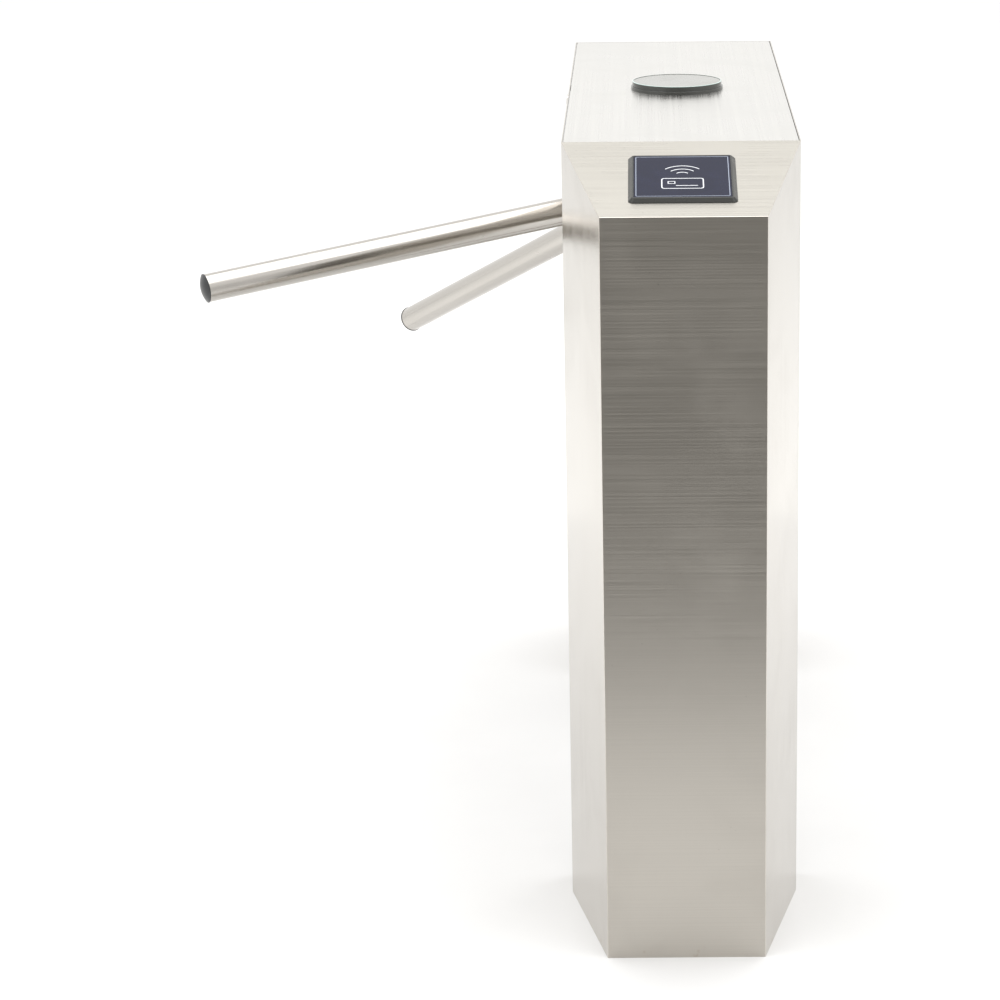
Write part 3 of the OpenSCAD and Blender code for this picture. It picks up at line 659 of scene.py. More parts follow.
# ---------------------------------------------------------------- mesh helpers
def body_of(node):
    """The CAD body that a node belongs to."""
    return frame["nodes"][node]["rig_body"]


def joint_frame(name, middle_of=None):
    """A matrix with Z along a joint's axis, at its place or in the middle of a sliding node."""
    joint = next(j for j in frame["joints"] if j["name"] == name)
    along = Vector(joint["axis"]).normalized()
    across = Vector((0, 1, 0))
    if abs(along.dot(across)) > 0.9:
        across = Vector((1, 0, 0))
    side = across.cross(along).normalized()
    turn = Matrix((side, along.cross(side), along)).transposed()
    place = sum(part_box(middle_of), Vector()) / 2 if middle_of else joint["pos_m"]
    return Matrix.Translation(place) @ turn.to_4x4()


def frame_along(start, direction):
    """A matrix at a point with Z along a direction."""
    return Matrix.Translation(start) @ direction.to_track_quat("Z", "Y").to_matrix().to_4x4()


def welded(node):
    """A copy of the CAD node's mesh as one welded shape, with its flat faces whole."""
    bm = bmesh.new()
    bm.from_mesh(frame["nodes"][node].data)
    bmesh.ops.remove_doubles(bm, verts=bm.verts, dist=WELD)
    bmesh.ops.dissolve_limit(bm, angle_limit=FLAT_ANGLE, verts=bm.verts, edges=bm.edges)
    return bm


def is_sharp(edge):
    """Whether an edge joins two faces at a clear outer angle."""
    return edge.is_manifold and edge.is_convex and edge.calc_face_angle(0) > SHARP_ANGLE


def round_edges(bm, edges, radius, segments=2):
    """Rounds the edges and marks the new faces, which the finishes paint lighter as rubbed wear and
    as a painted highlight.
    """
    rub_and_highlight = bm.faces.layers.float.get("edge_wear_and_painted_highlight") or bm.faces.layers.float.new("edge_wear_and_painted_highlight")
    made = bmesh.ops.bevel(
        bm,
        geom=edges,
        offset=radius,
        offset_type="OFFSET",
        segments=segments,
        profile=0.5,
        affect="EDGES",
        clamp_overlap=True,
        material=-1,
    )
    for face in made["faces"]:
        face[rub_and_highlight] = 1.0


def finish_piece(bm, name, body, keys, replaced=(), own=None):
    """Makes the mesh an object on its body, with its finishes and its own place stored."""
    if own is not None:
        layer = bm.verts.layers.float_vector.new("own_place")
        back = own.inverted()
        for vert in bm.verts:
            vert[layer] = back @ vert.co
    for face in bm.faces:
        face.smooth = True
    mesh = bpy.data.meshes.new(name)
    bm.to_mesh(mesh)
    bm.free()
    mesh.set_sharp_from_angle(angle=SMOOTH_ANGLE)
    piece = bpy.data.objects.new(name, mesh)
    bpy.context.scene.collection.objects.link(piece)
    for key in keys:
        mesh.materials.append(finishes[key])
    even = piece.modifiers.new("even_shading", "WEIGHTED_NORMAL")
    even.keep_sharp = True
    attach(piece, body)
    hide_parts(*replaced)


def dress(node, key, radius, own=None, segments=2):
    """The CAD node with its outer edges rounded and the finish of its key on."""
    bm = welded(node)
    if radius:
        round_edges(bm, [e for e in bm.edges if is_sharp(e)], radius, segments)
    finish_piece(bm, node + "_finished", body_of(node), [key], [node], own)


def lathe(bm, profile, place, steps=64):
    """Spins a profile of (radius, height) points round the Z axis of a place."""
    before = set(bm.verts)
    points = [place @ Vector((radius, 0, height)) for radius, height in profile]
    verts = [bm.verts.new(point) for point in points]
    edges = [bm.edges.new(pair) for pair in zip(verts, verts[1:])]
    bmesh.ops.spin(
        bm,
        geom=verts + edges,
        cent=place.translation,
        axis=place.to_3x3().col[2],
        dvec=(0, 0, 0),
        angle=math.tau,
        steps=steps,
        use_merge=True,
        use_duplicate=False,
    )
    new = [v for v in bm.verts if v not in before]
    bmesh.ops.remove_doubles(bm, verts=new, dist=WELD)
    new = set(v for v in bm.verts if v not in before)
    bmesh.ops.recalc_face_normals(bm, faces=[f for f in bm.faces if set(f.verts) <= new])


def add_block(bm, lo, hi, radius, segments=2):
    """A block between two corners with rounded edges."""
    lo, hi = Vector(lo), Vector(hi)
    size = hi - lo
    place = Matrix.Translation((lo + hi) / 2) @ Matrix.Diagonal((size.x, size.y, size.z, 1))
    verts = bmesh.ops.create_cube(bm, size=1, matrix=place)["verts"]
    edges = list({e for v in verts for e in v.link_edges})
    if radius:
        round_edges(bm, edges, radius, segments)


def arc_points(centre, radius, start, end, count):
    """Points of a fillet in a profile, from one angle to another."""
    turns = [math.radians(start + (end - start) * i / count) for i in range(count + 1)]
    return [(centre[0] + radius * math.cos(a), centre[1] + radius * math.sin(a)) for a in turns]


def socket_screw(bm, place, radius, rise, hexagon, depth):
    """A domed screw head with a hexagon socket, its seat at the place's origin."""
    sides, parts = 6, 4
    steps = sides * parts
    before = set(bm.verts)
    side, shoulder = (radius, 0.3 * rise), (0.86 * radius, 0.8 * rise)
    lathe(bm, [(radius, 0), side, shoulder, (0.62 * radius, rise)], place, steps)
    new_edges = [e for e in bm.edges if e.is_boundary and not set(e.verts) & before]
    rim = [e for e in new_edges if all((place.inverted() @ v.co).z > 0.9 * rise for v in e.verts)]
    mouth_place = place @ Matrix.Translation((0, 0, rise))
    ring = bmesh.ops.create_circle(bm, segments=sides, radius=hexagon, matrix=mouth_place)
    loop = list({e for v in ring["verts"] for e in v.link_edges})
    bmesh.ops.subdivide_edges(bm, edges=loop, cuts=parts - 1)
    inner = [e for e in bm.edges if e.is_wire]
    down = bmesh.ops.extrude_edge_only(bm, edges=inner)["geom"]
    low = [g for g in down if isinstance(g, bmesh.types.BMVert)]
    walls = [g for g in down if isinstance(g, bmesh.types.BMFace)]
    bmesh.ops.translate(bm, verts=low, vec=place.to_3x3() @ Vector((0, 0, -depth)))
    edges = [g for g in down if isinstance(g, bmesh.types.BMEdge)]
    floor_edges = [e for e in edges if set(e.verts) <= set(low)]
    bmesh.ops.contextual_create(bm, geom=floor_edges)
    mouth = [e for f in walls for e in f.edges if e.is_boundary]
    bmesh.ops.bridge_loops(bm, edges=rim + list(dict.fromkeys(mouth)))
    head = [f for f in bm.faces if not set(f.verts) & before]
    bmesh.ops.recalc_face_normals(bm, faces=head)


# ---------------------------------------------------------------- cabinet
def sort_shell_faces(bm):
    """Gives each face of an end cabinet its steel: end, slope, wall, and the folds between. The
    tones differ partly as painted light and shade, by which way each face turns.
    """
    rub_and_highlight = bm.faces.layers.float["edge_wear_and_painted_highlight"]
    for face in bm.faces:
        normal = face.normal
        if face[rub_and_highlight] > 0.5:
            face.material_index = 3
        elif abs(normal.y) > 0.98:
            face.material_index = 0
        elif normal.z > 0.5:
            face.material_index = 1
        else:
            face.material_index = 2


def on_outline(edge, lo, hi):
    """Whether an edge lies on the outer skin of a box-like sheet shape, and not inside it."""
    middle = (edge.verts[0].co + edge.verts[1].co) / 2
    outward = sum((f.normal for f in edge.link_faces), Vector())
    centre = (lo + hi) / 2
    away = middle - centre
    return outward.x * away.x + outward.y * away.y + outward.z * abs(away.z) > 0


def folds(bm, lo, hi, shortest):
    """The long outer edges of a sheet shape, but for those at the thin rim of sheet on its top."""
    long = [e for e in bm.edges if is_sharp(e) and e.calc_length() > shortest]
    outer = [e for e in long if on_outline(e, lo, hi)]
    return [e for e in outer if (e.verts[0].co.z + e.verts[1].co.z) / 2 < hi.z - RIM_DEPTH]


class TURNSTILE_OT_cabinet_shell(bpy.types.Operator):
    """Build the two end cabinets and the bridge between them, with folded corners"""

    bl_idname = "turnstile.cabinet_shell"
    bl_label = "Cabinet shell"

    def execute(self, context):
        sizes = context.scene.turnstile_sizes
        for end in ENDS:
            node = end + "_pedestal"
            lo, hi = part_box(node)
            bm = welded(node)
            bm.faces.layers.float.new("edge_wear_and_painted_highlight")
            round_edges(bm, folds(bm, lo, hi, SHORTEST_CABINET_FOLD), sizes.fold_radius, 4)
            sort_shell_faces(bm)
            steels = ["end_steel", "slope_steel", "side_steel", "fold_steel"]
            finish_piece(bm, end + "_cabinet", body_of(node), steels, [node])
        lo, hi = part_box("bridge_housing")
        bm = welded("bridge_housing")
        round_edges(bm, folds(bm, lo, hi, SHORTEST_BRIDGE_FOLD), sizes.fold_radius, 4)
        node = "bridge_housing"
        finish_piece(bm, "bridge_box", body_of(node), ["bridge_steel"], [node])
        return {"FINISHED"}


class TURNSTILE_OT_cover_plate(bpy.types.Operator):
    """Build the hinged cover plate with softened edges"""

    bl_idname = "turnstile.cover_plate"
    bl_label = "Cover plate"

    def execute(self, context):
        radius = context.scene.turnstile_sizes.cut_radius
        lo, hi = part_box("top_cover")
        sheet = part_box("front_access_panel")
        thick = sheet[1].y - sheet[0].y
        bm = bmesh.new()
        add_block(bm, (lo.x, lo.y, hi.z - thick), hi, radius)
        rib_x, rib_y, rib_half = 70 * MM, 240 * MM, 10 * MM
        for y in (-rib_y, rib_y):
            low, top = lo.z, hi.z - thick
            near, far = y - rib_half, y + rib_half
            add_block(bm, (-rib_x, near, top - thick), (rib_x, far, top), 0.5 * radius)
            for flange in (near, far - thick):
                add_block(bm, (-rib_x, flange, low), (rib_x, flange + thick, top), 0.5 * radius)
        node = "top_cover"
        finish_piece(bm, "cover_plate", body_of(node), ["top_steel"], [node])
        return {"FINISHED"}


class TURNSTILE_OT_access_panels(bpy.types.Operator):
    """Build the access panels on the bay walls and their socket screws"""

    bl_idname = "turnstile.access_panels"
    bl_label = "Access panels"

    def execute(self, context):
        radius = context.scene.turnstile_sizes.cut_radius
        bm = bmesh.new()
        for end in ENDS:
            dress(end + "_access_panel", "end_steel", radius)
        for lo, hi in islands("access_panel_screws"):
            add_panel_screw(bm, lo, hi)
        node, own = "access_panel_screws", joint_frame("cover_swing")
        finish_piece(bm, "panel_screws", body_of(node), ["screw"], [node], own)
        return {"FINISHED"}


def islands(node):
    """The (lowest, highest) corners of each separate solid in a CAD node."""
    bm = welded(node)
    left, found = set(bm.verts), []
    while left:
        group, todo = set(), [left.pop()]
        while todo:
            vert = todo.pop()
            group.add(vert)
            for edge in vert.link_edges:
                other = edge.other_vert(vert)
                if other in left:
                    left.remove(other)
                    todo.append(other)
        corners = [[v.co[i] for v in group] for i in range(3)]
        found.append((Vector(map(min, corners)), Vector(map(max, corners))))
    bm.free()
    return found


def add_panel_screw(bm, lo, hi):
    """One socket screw on an access panel, with its head towards the bay."""
    centre, radius = (lo + hi) / 2, (hi.x - lo.x) / 2
    inward = -1 if centre.y > 0 else 1
    seat = lo.y if inward > 0 else hi.y
    rise = (hi.y - lo.y) * 2 / 3.5
    shank = (hi.y - lo.y) - rise
    outer = frame_along(Vector((centre.x, seat + inward * shank, centre.z)), Vector((0, inward, 0)))
    socket_screw(bm, outer, radius, rise, 0.5 * radius, 0.7 * rise)
    lathe(bm, [(0.5 * radius, -shank), (0.5 * radius, 0)], outer, 24)


class TURNSTILE_OT_feet(bpy.types.Operator):
    """Build the base plates and the earth studs"""

    bl_idname = "turnstile.feet"
    bl_label = "Feet"

    def execute(self, context):
        radius = context.scene.turnstile_sizes.machined_radius
        for end in ENDS:
            dress(end + "_base_plate", "zinc", radius)
        dress("earth_studs", "brass", 0.6 * radius, joint_frame("cover_swing"))
        return {"FINISHED"}


class TURNSTILE_OT_hinges(bpy.types.Operator):
    """Build the cover's ledges, hinges and catch"""

    bl_idname = "turnstile.hinges"
    bl_label = "Hinges"

    def execute(self, context):
        radius = context.scene.turnstile_sizes.cut_radius
        for node in ("cover_ledges", "cover_hinge_brackets", "cover_hinge_leaves"):
            dress(node, "zinc", 0)
        own = joint_frame("cover_swing")
        dress("cover_hinge_pins", "machined", 0.5 * radius, own)
        dress("cover_catch", "zinc", radius)
        return {"FINISHED"}


class TURNSTILE_OT_lock(bpy.types.Operator):
    """Build the cover's key lock: body, plug and cam"""

    bl_idname = "turnstile.lock"
    bl_label = "Lock"

    def execute(self, context):
        radius = context.scene.turnstile_sizes.machined_radius
        own = joint_frame("lock_turn")
        dress("lock_body", "hub", 0.8 * radius, own, 3)
        dress("lock_plug", "brass", 0.3 * radius, own)
        dress("lock_cam", "zinc", 0.5 * radius)
        return {"FINISHED"}


# ---------------------------------------------------------------- indicator
class TURNSTILE_OT_indicator(bpy.types.Operator):
    """Build the round indicator on the cover: glossy ring, rim and pale disc"""

    bl_idname = "turnstile.indicator"
    bl_label = "Indicator"

    def execute(self, context):
        base_lo, base_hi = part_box("indicator_base")
        lens_lo, lens_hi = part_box("indicator_lens")
        cap_lo, cap_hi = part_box("indicator_cap")
        middle = (base_lo + base_hi) / 2
        place = Matrix.Translation((middle.x, middle.y, base_lo.z))
        body = body_of("indicator_base")
        fillet, bore = 0.6 * MM, 20 * MM
        base_r, base_h = (base_hi.x - base_lo.x) / 2, base_hi.z - base_lo.z
        bm = bmesh.new()
        profile = [(bore, 0), (base_r, 0), (base_r, base_h - fillet)]
        profile += arc_points((base_r - fillet, base_h - fillet), fillet, 0, 90, 5)[1:]
        profile += [(bore, base_h), (bore, 0)]
        lathe(bm, profile, place, LATHE_STEPS)
        finish_piece(bm, "indicator_ring", body, ["lamp"], ["indicator_base"], place)
        lens_r, lens_h = (lens_hi.x - lens_lo.x) / 2, lens_hi.z - base_lo.z
        cap_r, cap_h = (cap_hi.x - cap_lo.x) / 2, cap_hi.z - base_lo.z
        bm = bmesh.new()
        profile = [(cap_r, base_h), (lens_r, base_h), (lens_r, lens_h - fillet)]
        profile += arc_points((lens_r - fillet, lens_h - fillet), fillet, 0, 90, 5)[1:]
        profile += [(cap_r, lens_h), (cap_r, base_h)]
        lathe(bm, profile, place, LATHE_STEPS)
        for face in bm.faces:
            face.material_index = int(face.normal.z > 0.3)
        skins, node = ["lamp", "rim"], "indicator_lens"
        finish_piece(bm, "indicator_wall", body, skins, [node], place)
        bm = bmesh.new()
        top, dish = cap_h, 0.1 * MM
        profile = [(0, base_h), (cap_r, base_h), (cap_r, top - fillet)]
        profile += arc_points((cap_r - fillet, top - fillet), fillet, 0, 90, 4)[1:]
        profile += [(0.9 * cap_r, top - dish), (0, top - dish)]
        lathe(bm, profile, place, LATHE_STEPS)
        finish_piece(bm, "indicator_disc", body, ["lamp_cap"], ["indicator_cap"], place)
        dress("indicator_board", "board", 0)
        return {"FINISHED"}


# ---------------------------------------------------------------- card readers
def panel_place(node, right):
    """The middle of a reader's face as a matrix: X to its right, Y up the slope, Z out of it."""
    lo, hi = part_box(node)
    mesh = frame["nodes"][node].data
    widest = max((p for p in mesh.polygons if p.normal.z > 0), key=lambda p: p.area)
    out = widest.normal.normalized()
    across = Vector(right)
    middle = (lo + hi) / 2
    rise = max((v.co - middle).dot(out) for v in mesh.vertices)
    turn = Matrix((across, out.cross(across), out)).transposed()
    return Matrix.Translation(middle + out * rise) @ turn.to_4x4()


def panel_size(node, place):
    """Half the side of a reader's square face."""
    back = place.inverted()
    return max((back @ v.co).x for v in frame["nodes"][node].data.vertices)


def add_rectangle(bm, centre, half_x, half_y):
    """A filled rectangle, flat on XY. Returns its corners."""
    place = Matrix.Translation((centre[0], centre[1], 0)) @ Matrix.Diagonal((half_x, half_y, 1, 1))
    return bmesh.ops.create_grid(bm, x_segments=1, y_segments=1, size=1, matrix=place)["verts"]


def add_frame_line(bm, half_x, half_y, corner, line, centre=(0, 0)):
    """A rounded rectangle drawn as a line of one width, flat on XY."""
    verts = add_rectangle(bm, centre, half_x, half_y)
    before = set(bm.faces) - {f for v in verts for f in v.link_faces}
    bmesh.ops.bevel(
        bm,
        geom=verts,
        offset=corner,
        offset_type="OFFSET",
        segments=6,
        profile=0.5,
        affect="VERTICES",
        material=-1,
    )
    inside = [f for f in bm.faces if f not in before]
    bmesh.ops.inset_region(
        bm, faces=inside, thickness=line, use_even_offset=True, use_boundary=True
    )
    bmesh.ops.delete(bm, geom=inside, context="FACES")


def add_arc_line(bm, centre, radius, start, sweep, line):
    """An arc drawn as a line of one width with square ends, flat on XY."""
    direction = Vector((math.cos(start), math.sin(start), 0))
    hub = Vector((centre[0], centre[1], 0))
    pair = [bm.verts.new(hub + direction * (radius + k * line / 2)) for k in (-1, 1)]
    edge = bm.edges.new(pair)
    bmesh.ops.spin(
        bm,
        geom=pair + [edge],
        cent=hub,
        axis=(0, 0, 1),
        dvec=(0, 0, 0),
        angle=sweep,
        steps=20,
        use_duplicate=False,
    )


def reader_sign(line):
    """The sign on a reader: a plain card with three waves over it, flat on XY, as a mesh."""
    bm = bmesh.new()
    card_x, card_y, card_corner, card_low = 25 * MM, 14.5 * MM, 4 * MM, -20 * MM
    add_frame_line(bm, card_x, card_y, card_corner, line, (0, card_low))
    chip_x, chip_y, chip_corner = 4.5 * MM, 3.5 * MM, 1 * MM
    add_frame_line(bm, chip_x, chip_y, chip_corner, 0.8 * line, (-13 * MM, card_low + 2.5 * MM))
    add_rectangle(bm, (5 * MM, card_low - 6 * MM), 13 * MM, line / 2)
    wave_start, wave_sweep = math.radians(42), math.radians(96)
    for radius in (9 * MM, 18 * MM, 27 * MM):
        add_arc_line(bm, (0, 2 * MM), radius, wave_start, wave_sweep, line)
    return bm


def place_print(bm, place, height, name, body, key):
    """Gives flat print its thickness, lays it on a reader's face and makes it a piece."""
    grown = bmesh.ops.extrude_face_region(bm, geom=list(bm.faces))["geom"]
    top = [g for g in grown if isinstance(g, bmesh.types.BMVert)]
    bmesh.ops.translate(bm, verts=top, vec=(0, 0, height))
    bmesh.ops.transform(bm, matrix=place, verts=bm.verts)
    bmesh.ops.recalc_face_normals(bm, faces=bm.faces)
    finish_piece(bm, name, body, [key])


class TURNSTILE_OT_card_readers(bpy.types.Operator):
    """Build the two card readers: bezel, glossy face with its printed sign, case and board"""

    bl_idname = "turnstile.card_readers"
    bl_label = "Card readers"

    def execute(self, context):
        sizes = context.scene.turnstile_sizes
        for end, right in zip(ENDS, ((1, 0, 0), (-1, 0, 0))):
            stem = end + "_reader_"
            dress(stem + "bezel", "bezel", sizes.machined_radius)
            dress(stem + "face", "panel", 0.4 * MM)
            dress(stem + "case", "plastic", sizes.machined_radius)
            dress(stem + "board", "board", 0)
            place = panel_place(stem + "face", right)
            half = panel_size(stem + "face", place)
            body = body_of(stem + "face")
            sign = reader_sign(sizes.print_line)
            place_print(sign, place, sizes.print_height, stem + "sign", body, "print")
            border = bmesh.new()
            inset, corner, width = 2.2 * MM, 2 * MM, 0.8 * MM
            add_frame_line(border, half - inset, half - inset, corner, width)
            place_print(border, place, sizes.print_height, stem + "border", body, "line")
        return {"FINISHED"}


# ---------------------------------------------------------------- arms and hub
def arm_line(number, hub_place):
    """An arm's frame, with Z along it from the meeting point, and its tube's ends and radius."""
    mesh = frame["nodes"][f"arm_tube_{number}"].data
    apex = hub_place.translation
    far = max((v.co - apex).length for v in mesh.vertices)
    rim = [v.co for v in mesh.vertices if (v.co - apex).length > far - 0.01 * MM]
    middle = sum(rim, Vector()) / len(rim)
    place = frame_along(apex, (middle - apex).normalized())
    back = place.inverted()
    heights = [(back @ v.co).z for v in mesh.vertices]
    radius = max((back @ v.co).xy.length for v in mesh.vertices)
    return place, min(heights), max(heights), radius


def add_arm_tube(bm, place, root, tip, radius, wall):
    """A thin tube with a small radius on its cut ends."""
    lip = 0.4 * MM
    profile = [(radius - wall, root), (radius - lip, root)]
    profile += arc_points((radius - lip, root + lip), lip, -90, 0, 3)[1:]
    profile += arc_points((radius - lip, tip - lip), lip, 0, 90, 3)
    profile += [(radius - wall, tip), (radius - wall, root)]
    lathe(bm, profile, place, 96)


def add_end_cap(bm, place, tube_tip, tube_radius, wall, cap_radius, dome):
    """A domed cap with a thin lip over the tube's end and a tapered plug inside it."""
    plug = tube_radius - wall
    lip = 0.8 * MM
    rise = dome - lip
    ball = (cap_radius**2 + rise**2) / (2 * rise)
    plug_end, taper, taper_in = tube_tip - 22 * MM, 2 * MM, 1 * MM
    profile = [(0, plug_end), (plug - taper_in, plug_end), (plug, plug_end + taper)]
    profile += [(plug, tube_tip), (cap_radius, tube_tip), (cap_radius, tube_tip + lip)]
    count = 12
    for i in range(1, count + 1):
        radius = cap_radius * (1 - i / count)
        profile.append((radius, tube_tip + dome - ball + math.sqrt(ball**2 - radius**2)))
    lathe(bm, profile, place, 96)


class TURNSTILE_OT_arms(bpy.types.Operator):
    """Build the three arms: polished tubes, domed end caps and their set screws"""

    bl_idname = "turnstile.arms"
    bl_label = "Arms"

    def execute(self, context):
        hub_place = joint_frame("rotor_spin")
        apex = hub_place.translation
        wall = 1.5 * MM
        head_radius, head_rise, hexagon, socket_depth = 4.5 * MM, 2 * MM, 2 * MM, 1.6 * MM
        shank_radius, shank_length = 2.4 * MM, 6 * MM
        caps = bmesh.new()
        screws = bmesh.new()
        caps_mesh = frame["nodes"]["arm_end_caps"].data
        screw_boxes = islands("arm_screws")
        for number in range(1, ARM_COUNT + 1):
            place, root, tip, radius = arm_line(number, hub_place)
            bm = bmesh.new()
            add_arm_tube(bm, place, root, tip, radius, wall)
            node = f"arm_tube_{number}"
            finish_piece(
                bm, f"arm_{number}", body_of(node), ["tube"], [node], place
            )
            back = place.inverted()
            near = [back @ v.co for v in caps_mesh.vertices]
            near = [p for p in near if p.xy.length < 2 * radius]
            cap_radius = max(p.xy.length for p in near)
            add_end_cap(caps, place, tip, radius, wall, cap_radius, max(p.z for p in near) - tip)
            centres = [(lo + hi) / 2 for lo, hi in screw_boxes]
            local = min((back @ c for c in centres), key=lambda p: p.xy.length)
            outward = place.to_3x3() @ Vector((local.x, local.y, 0)).normalized()
            seat = apex + place.to_3x3().col[2] * local.z + outward * (radius - 0.1 * MM)
            head = frame_along(seat, outward)
            socket_screw(screws, head, head_radius, head_rise, hexagon, socket_depth)
            lathe(screws, [(shank_radius, -shank_length), (shank_radius, 0)], head, 24)
        node = "arm_end_caps"
        finish_piece(caps, "arm_caps", body_of(node), ["rubber"], [node], hub_place)
        node = "arm_screws"
        finish_piece(
            screws, "arm_set_screws", body_of(node), ["screw"], [node], hub_place
        )
        return {"FINISHED"}


class TURNSTILE_OT_hub(bpy.types.Operator):
    """Build the hub with its three arm bosses, and the cap on the shaft's end"""

    bl_idname = "turnstile.hub"
    bl_label = "Hub"

    def execute(self, context):
        radius = context.scene.turnstile_sizes.machined_radius
        own = joint_frame("rotor_spin")
        dress("hub", "hub", 0, own)
        dress("hub_cap", "hub", radius, own, 3)
        return {"FINISHED"}


# ---------------------------------------------------------------- mechanism
class TURNSTILE_OT_shaft_train(bpy.types.Operator):
    """Build the shaft, its bearings, the lock disc, the gears and the encoder disc"""

    bl_idname = "turnstile.shaft_train"
    bl_label = "Shaft train"

    def execute(self, context):
        radius = context.scene.turnstile_sizes.machined_radius
        own = joint_frame("rotor_spin")
        motor = joint_frame("motor_pinion_spin")
        for node, slot, key, factor in (
            ("main_shaft", "machined_steel", "machined", 1),
            ("front_bearing", "machined_steel", "machined", 0.4),
            ("rear_bearing", "machined_steel", "machined", 0.4),
            ("lock_disc", "zinc_steel", "zinc", 1),
            ("main_gear", "machined_steel", "machined", 0.3),
            ("encoder_disc", "black_plastic", "plastic", 0.4),
            ("shaft_nut", "zinc_steel", "zinc", 1.4),
        ):
            dress(node, key, factor * radius, own)
        dress("motor_pinion", "brass", 0.3 * radius, motor)
        return {"FINISHED"}


class TURNSTILE_OT_drive_and_locks(bpy.types.Operator):
    """Build the chassis and its bolts, the motor, the solenoids, the plungers and the pawls"""

    bl_idname = "turnstile.drive_and_locks"
    bl_label = "Drive and locks"

    def execute(self, context):
        radius = context.scene.turnstile_sizes.machined_radius
        own = joint_frame("rotor_spin")
        motor = joint_frame("motor_pinion_spin")
        dress("mechanism_chassis", "alloy", 0)
        dress("chassis_bolts", "zinc", 0.6 * radius)
        dress("drive_motor", "plastic", 1.6 * radius, motor, 3)
        dress("pawl_pins", "machined", 0.6 * radius, own)
        for side in ("left", "right"):
            slide = joint_frame(side + "_plunger_slide", side + "_plunger")
            dress(side + "_solenoid", "coil", radius)
            dress(side + "_plunger", "machined", 0.5 * radius, slide)
            dress(side + "_pawl", "zinc", radius)
        return {"FINISHED"}


class TURNSTILE_OT_electronics(bpy.types.Operator):
    """Build the control board, the power supply and the encoder's sensor"""

    bl_idname = "turnstile.electronics"
    bl_label = "Electronics"

    def execute(self, context):
        radius = context.scene.turnstile_sizes.machined_radius
        dress("control_board", "board", 0)
        dress("power_supply", "alloy", 2 * radius)
        dress("encoder_sensor", "plastic", radius)
        return {"FINISHED"}


# ---------------------------------------------------------------- studio
def floor_material(name, colour):
    """Plain pale floor, or its darker patch, with a faint unevenness."""
    material, tree, shader = new_material(name)
    place = surface_place(tree)
    tone = remap(tree, noise(tree, place, 6), 0.3, 0.7, 0, 1)
    base = blend_colours(tree, tone, shade(colour, 0.985), shade(colour, 1))
    tree.links.new(base, shader.inputs["Base Color"])
    shader.inputs["Roughness"].default_value = 0.7
    shader.inputs["Specular IOR Level"].default_value = 0.1
    return material


def light_room(studio):
    """A white room with one dim end in front of the turnstile, which shades the steel."""
    world = bpy.data.worlds.new("white_room")
    bpy.context.scene.world = world
    world.use_nodes = True
    tree = world.node_tree
    background = tree.nodes["Background"]
    direction = tree.nodes.new("ShaderNodeTexCoord").outputs["Generated"]
    toward = tree.nodes.new("ShaderNodeVectorMath")
    toward.operation = "DOT_PRODUCT"
    toward.inputs[1].default_value = Vector((0, -1, -0.12)).normalized()
    tree.links.new(direction, toward.inputs[0])
    dim = remap(tree, toward.outputs["Value"], 0.62, 0.97, 0, 1)
    level = studio.room_light
    dark = studio.room_dim
    colour = blend_colours(
        tree, dim, (level, level * 0.995, level * 0.985, 1), (dark, dark * 0.975, dark * 0.92, 1)
    )
    camera_ray = tree.nodes.new("ShaderNodeLightPath").outputs["Is Camera Ray"]
    seen = blend_colours(tree, camera_ray, colour, (1, 1, 1, 1))
    tree.links.new(seen, background.inputs["Color"])


def add_camera(studio):
    """The camera, tilted down and leaning a little."""
    data = bpy.data.cameras.new("view")
    camera = bpy.data.objects.new("view", data)
    bpy.context.scene.collection.objects.link(camera)
    forward = Vector((0, math.cos(studio.camera_tilt), -math.sin(studio.camera_tilt)))
    right = Vector((1, 0, 0))
    up = right.cross(forward)
    cos, sin = math.cos(studio.camera_roll), math.sin(studio.camera_roll)
    leaning_right = cos * right + sin * up
    leaning_up = cos * up - sin * right
    turn = Matrix((leaning_right, leaning_up, -forward)).transposed()
    camera.matrix_world = Matrix.Translation(studio.camera_place) @ turn.to_4x4()
    data.sensor_width = 36
    data.lens = studio.camera_lens
    data.shift_x, data.shift_y = studio.camera_shift
    data.clip_end = 100
    bpy.context.scene.camera = camera


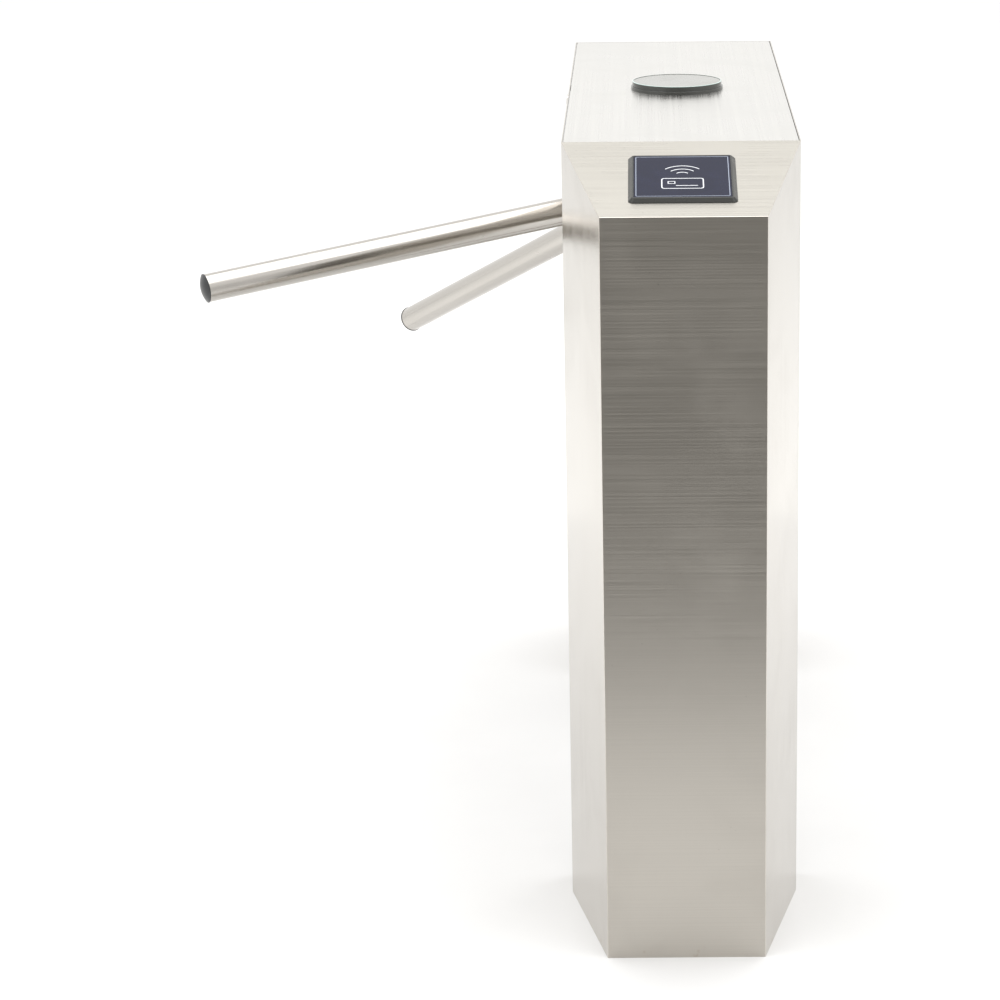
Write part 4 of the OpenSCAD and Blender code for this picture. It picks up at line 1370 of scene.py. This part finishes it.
class TURNSTILE_OT_studio(bpy.types.Operator):
    """Lay the floor, light the room and set the camera"""

    bl_idname = "turnstile.studio"
    bl_label = "Studio"

    def execute(self, context):
        studio = context.scene.turnstile_studio
        bm = bmesh.new()
        half_x, near, far = 7.0, CAD_LOW.y - 0.95, 12.0
        # The darker floor patch: a square round the turnstile and a little behind it, darker than
        # the rest of the floor. It shows in the steel's reflections low down.
        floor_patch_end = CAD_HIGH.y + studio.floor_patch_beyond
        middle = Matrix.Translation((0, (near + far) / 2, 0))
        stretch = Matrix.Diagonal((half_x, (far - near) / 2, 1, 1))
        bmesh.ops.create_grid(bm, x_segments=8, y_segments=8, size=1, matrix=middle @ stretch)
        for point, normal in (
            ((-studio.floor_patch_half, 0, 0), (1, 0, 0)),
            ((studio.floor_patch_half, 0, 0), (1, 0, 0)),
            ((0, floor_patch_end, 0), (0, 1, 0)),
        ):
            everything = list(bm.verts) + list(bm.edges) + list(bm.faces)
            bmesh.ops.bisect_plane(bm, geom=everything, plane_co=point, plane_no=normal)
        for face in bm.faces:
            middle = face.calc_center_median()
            face.material_index = int(abs(middle.x) < studio.floor_patch_half and middle.y < floor_patch_end)
        mesh = bpy.data.meshes.new("floor")
        bm.to_mesh(mesh)
        bm.free()
        mesh.materials.append(floor_material("studio_floor", studio.floor_colour))
        mesh.materials.append(floor_material("studio_floor_patch", studio.floor_patch_colour))
        floor = bpy.data.objects.new("floor", mesh)
        context.scene.collection.objects.link(floor)
        data = bpy.data.lights.new("top_light", "AREA")
        data.energy = studio.top_light
        data.size = 5
        lamp = bpy.data.objects.new("top_light", data)
        lamp.location = (0, -0.3, 4.5)
        context.scene.collection.objects.link(lamp)
        light_room(studio)
        context.scene.view_settings.view_transform = "Standard"
        add_camera(studio)
        return {"FINISHED"}


class TURNSTILE_PT_build(bpy.types.Panel):
    """Lists the build steps and their settings"""

    bl_label = "Turnstile"
    bl_idname = "TURNSTILE_PT_build"
    bl_space_type = "VIEW_3D"
    bl_region_type = "UI"
    bl_category = "Turnstile"

    def draw(self, context):
        layout = self.layout
        for settings in ("turnstile_finish", "turnstile_sizes", "turnstile_studio"):
            box = layout.box()
            group = getattr(context.scene, settings)
            for name in group.__annotations__:
                box.prop(group, name)
        for operator in BUILD_STEPS:
            layout.operator(operator.bl_idname)


BUILD_STEPS = (
    TURNSTILE_OT_cabinet_shell,
    TURNSTILE_OT_cover_plate,
    TURNSTILE_OT_access_panels,
    TURNSTILE_OT_feet,
    TURNSTILE_OT_hinges,
    TURNSTILE_OT_lock,
    TURNSTILE_OT_indicator,
    TURNSTILE_OT_card_readers,
    TURNSTILE_OT_arms,
    TURNSTILE_OT_hub,
    TURNSTILE_OT_shaft_train,
    TURNSTILE_OT_drive_and_locks,
    TURNSTILE_OT_electronics,
    TURNSTILE_OT_studio,
)
SETTINGS = (
    ("turnstile_finish", TurnstileFinish),
    ("turnstile_sizes", TurnstileSizes),
    ("turnstile_studio", TurnstileStudio),
)


def register():
    """Registers the settings, the build steps and the panel."""
    for name, group in SETTINGS:
        bpy.utils.register_class(group)
        setattr(bpy.types.Scene, name, bpy.props.PointerProperty(type=group))
    for cls in BUILD_STEPS + (TURNSTILE_PT_build,):
        bpy.utils.register_class(cls)


def unregister():
    """Removes what register() added."""
    for cls in reversed(BUILD_STEPS + (TURNSTILE_PT_build,)):
        bpy.utils.unregister_class(cls)
    for name, group in reversed(SETTINGS):
        delattr(bpy.types.Scene, name)
        bpy.utils.unregister_class(group)


effects = {}
finishes = {}


def main():
    """Builds every piece in order."""
    register()
    effects.update(
        hairline=hairline_group(),
        handling=handling_group(),
        edge=edge_group(),
        foot_stain=foot_stain_group(),
        turned=turned_group(),
    )
    finishes.update(make_materials())
    bpy.ops.turnstile.cabinet_shell()
    bpy.ops.turnstile.cover_plate()
    bpy.ops.turnstile.access_panels()
    bpy.ops.turnstile.feet()
    bpy.ops.turnstile.hinges()
    bpy.ops.turnstile.lock()
    bpy.ops.turnstile.indicator()
    bpy.ops.turnstile.card_readers()
    bpy.ops.turnstile.arms()
    bpy.ops.turnstile.hub()
    bpy.ops.turnstile.shaft_train()
    bpy.ops.turnstile.drive_and_locks()
    bpy.ops.turnstile.electronics()
    bpy.ops.turnstile.studio()


if __name__ == "__main__":
    main()
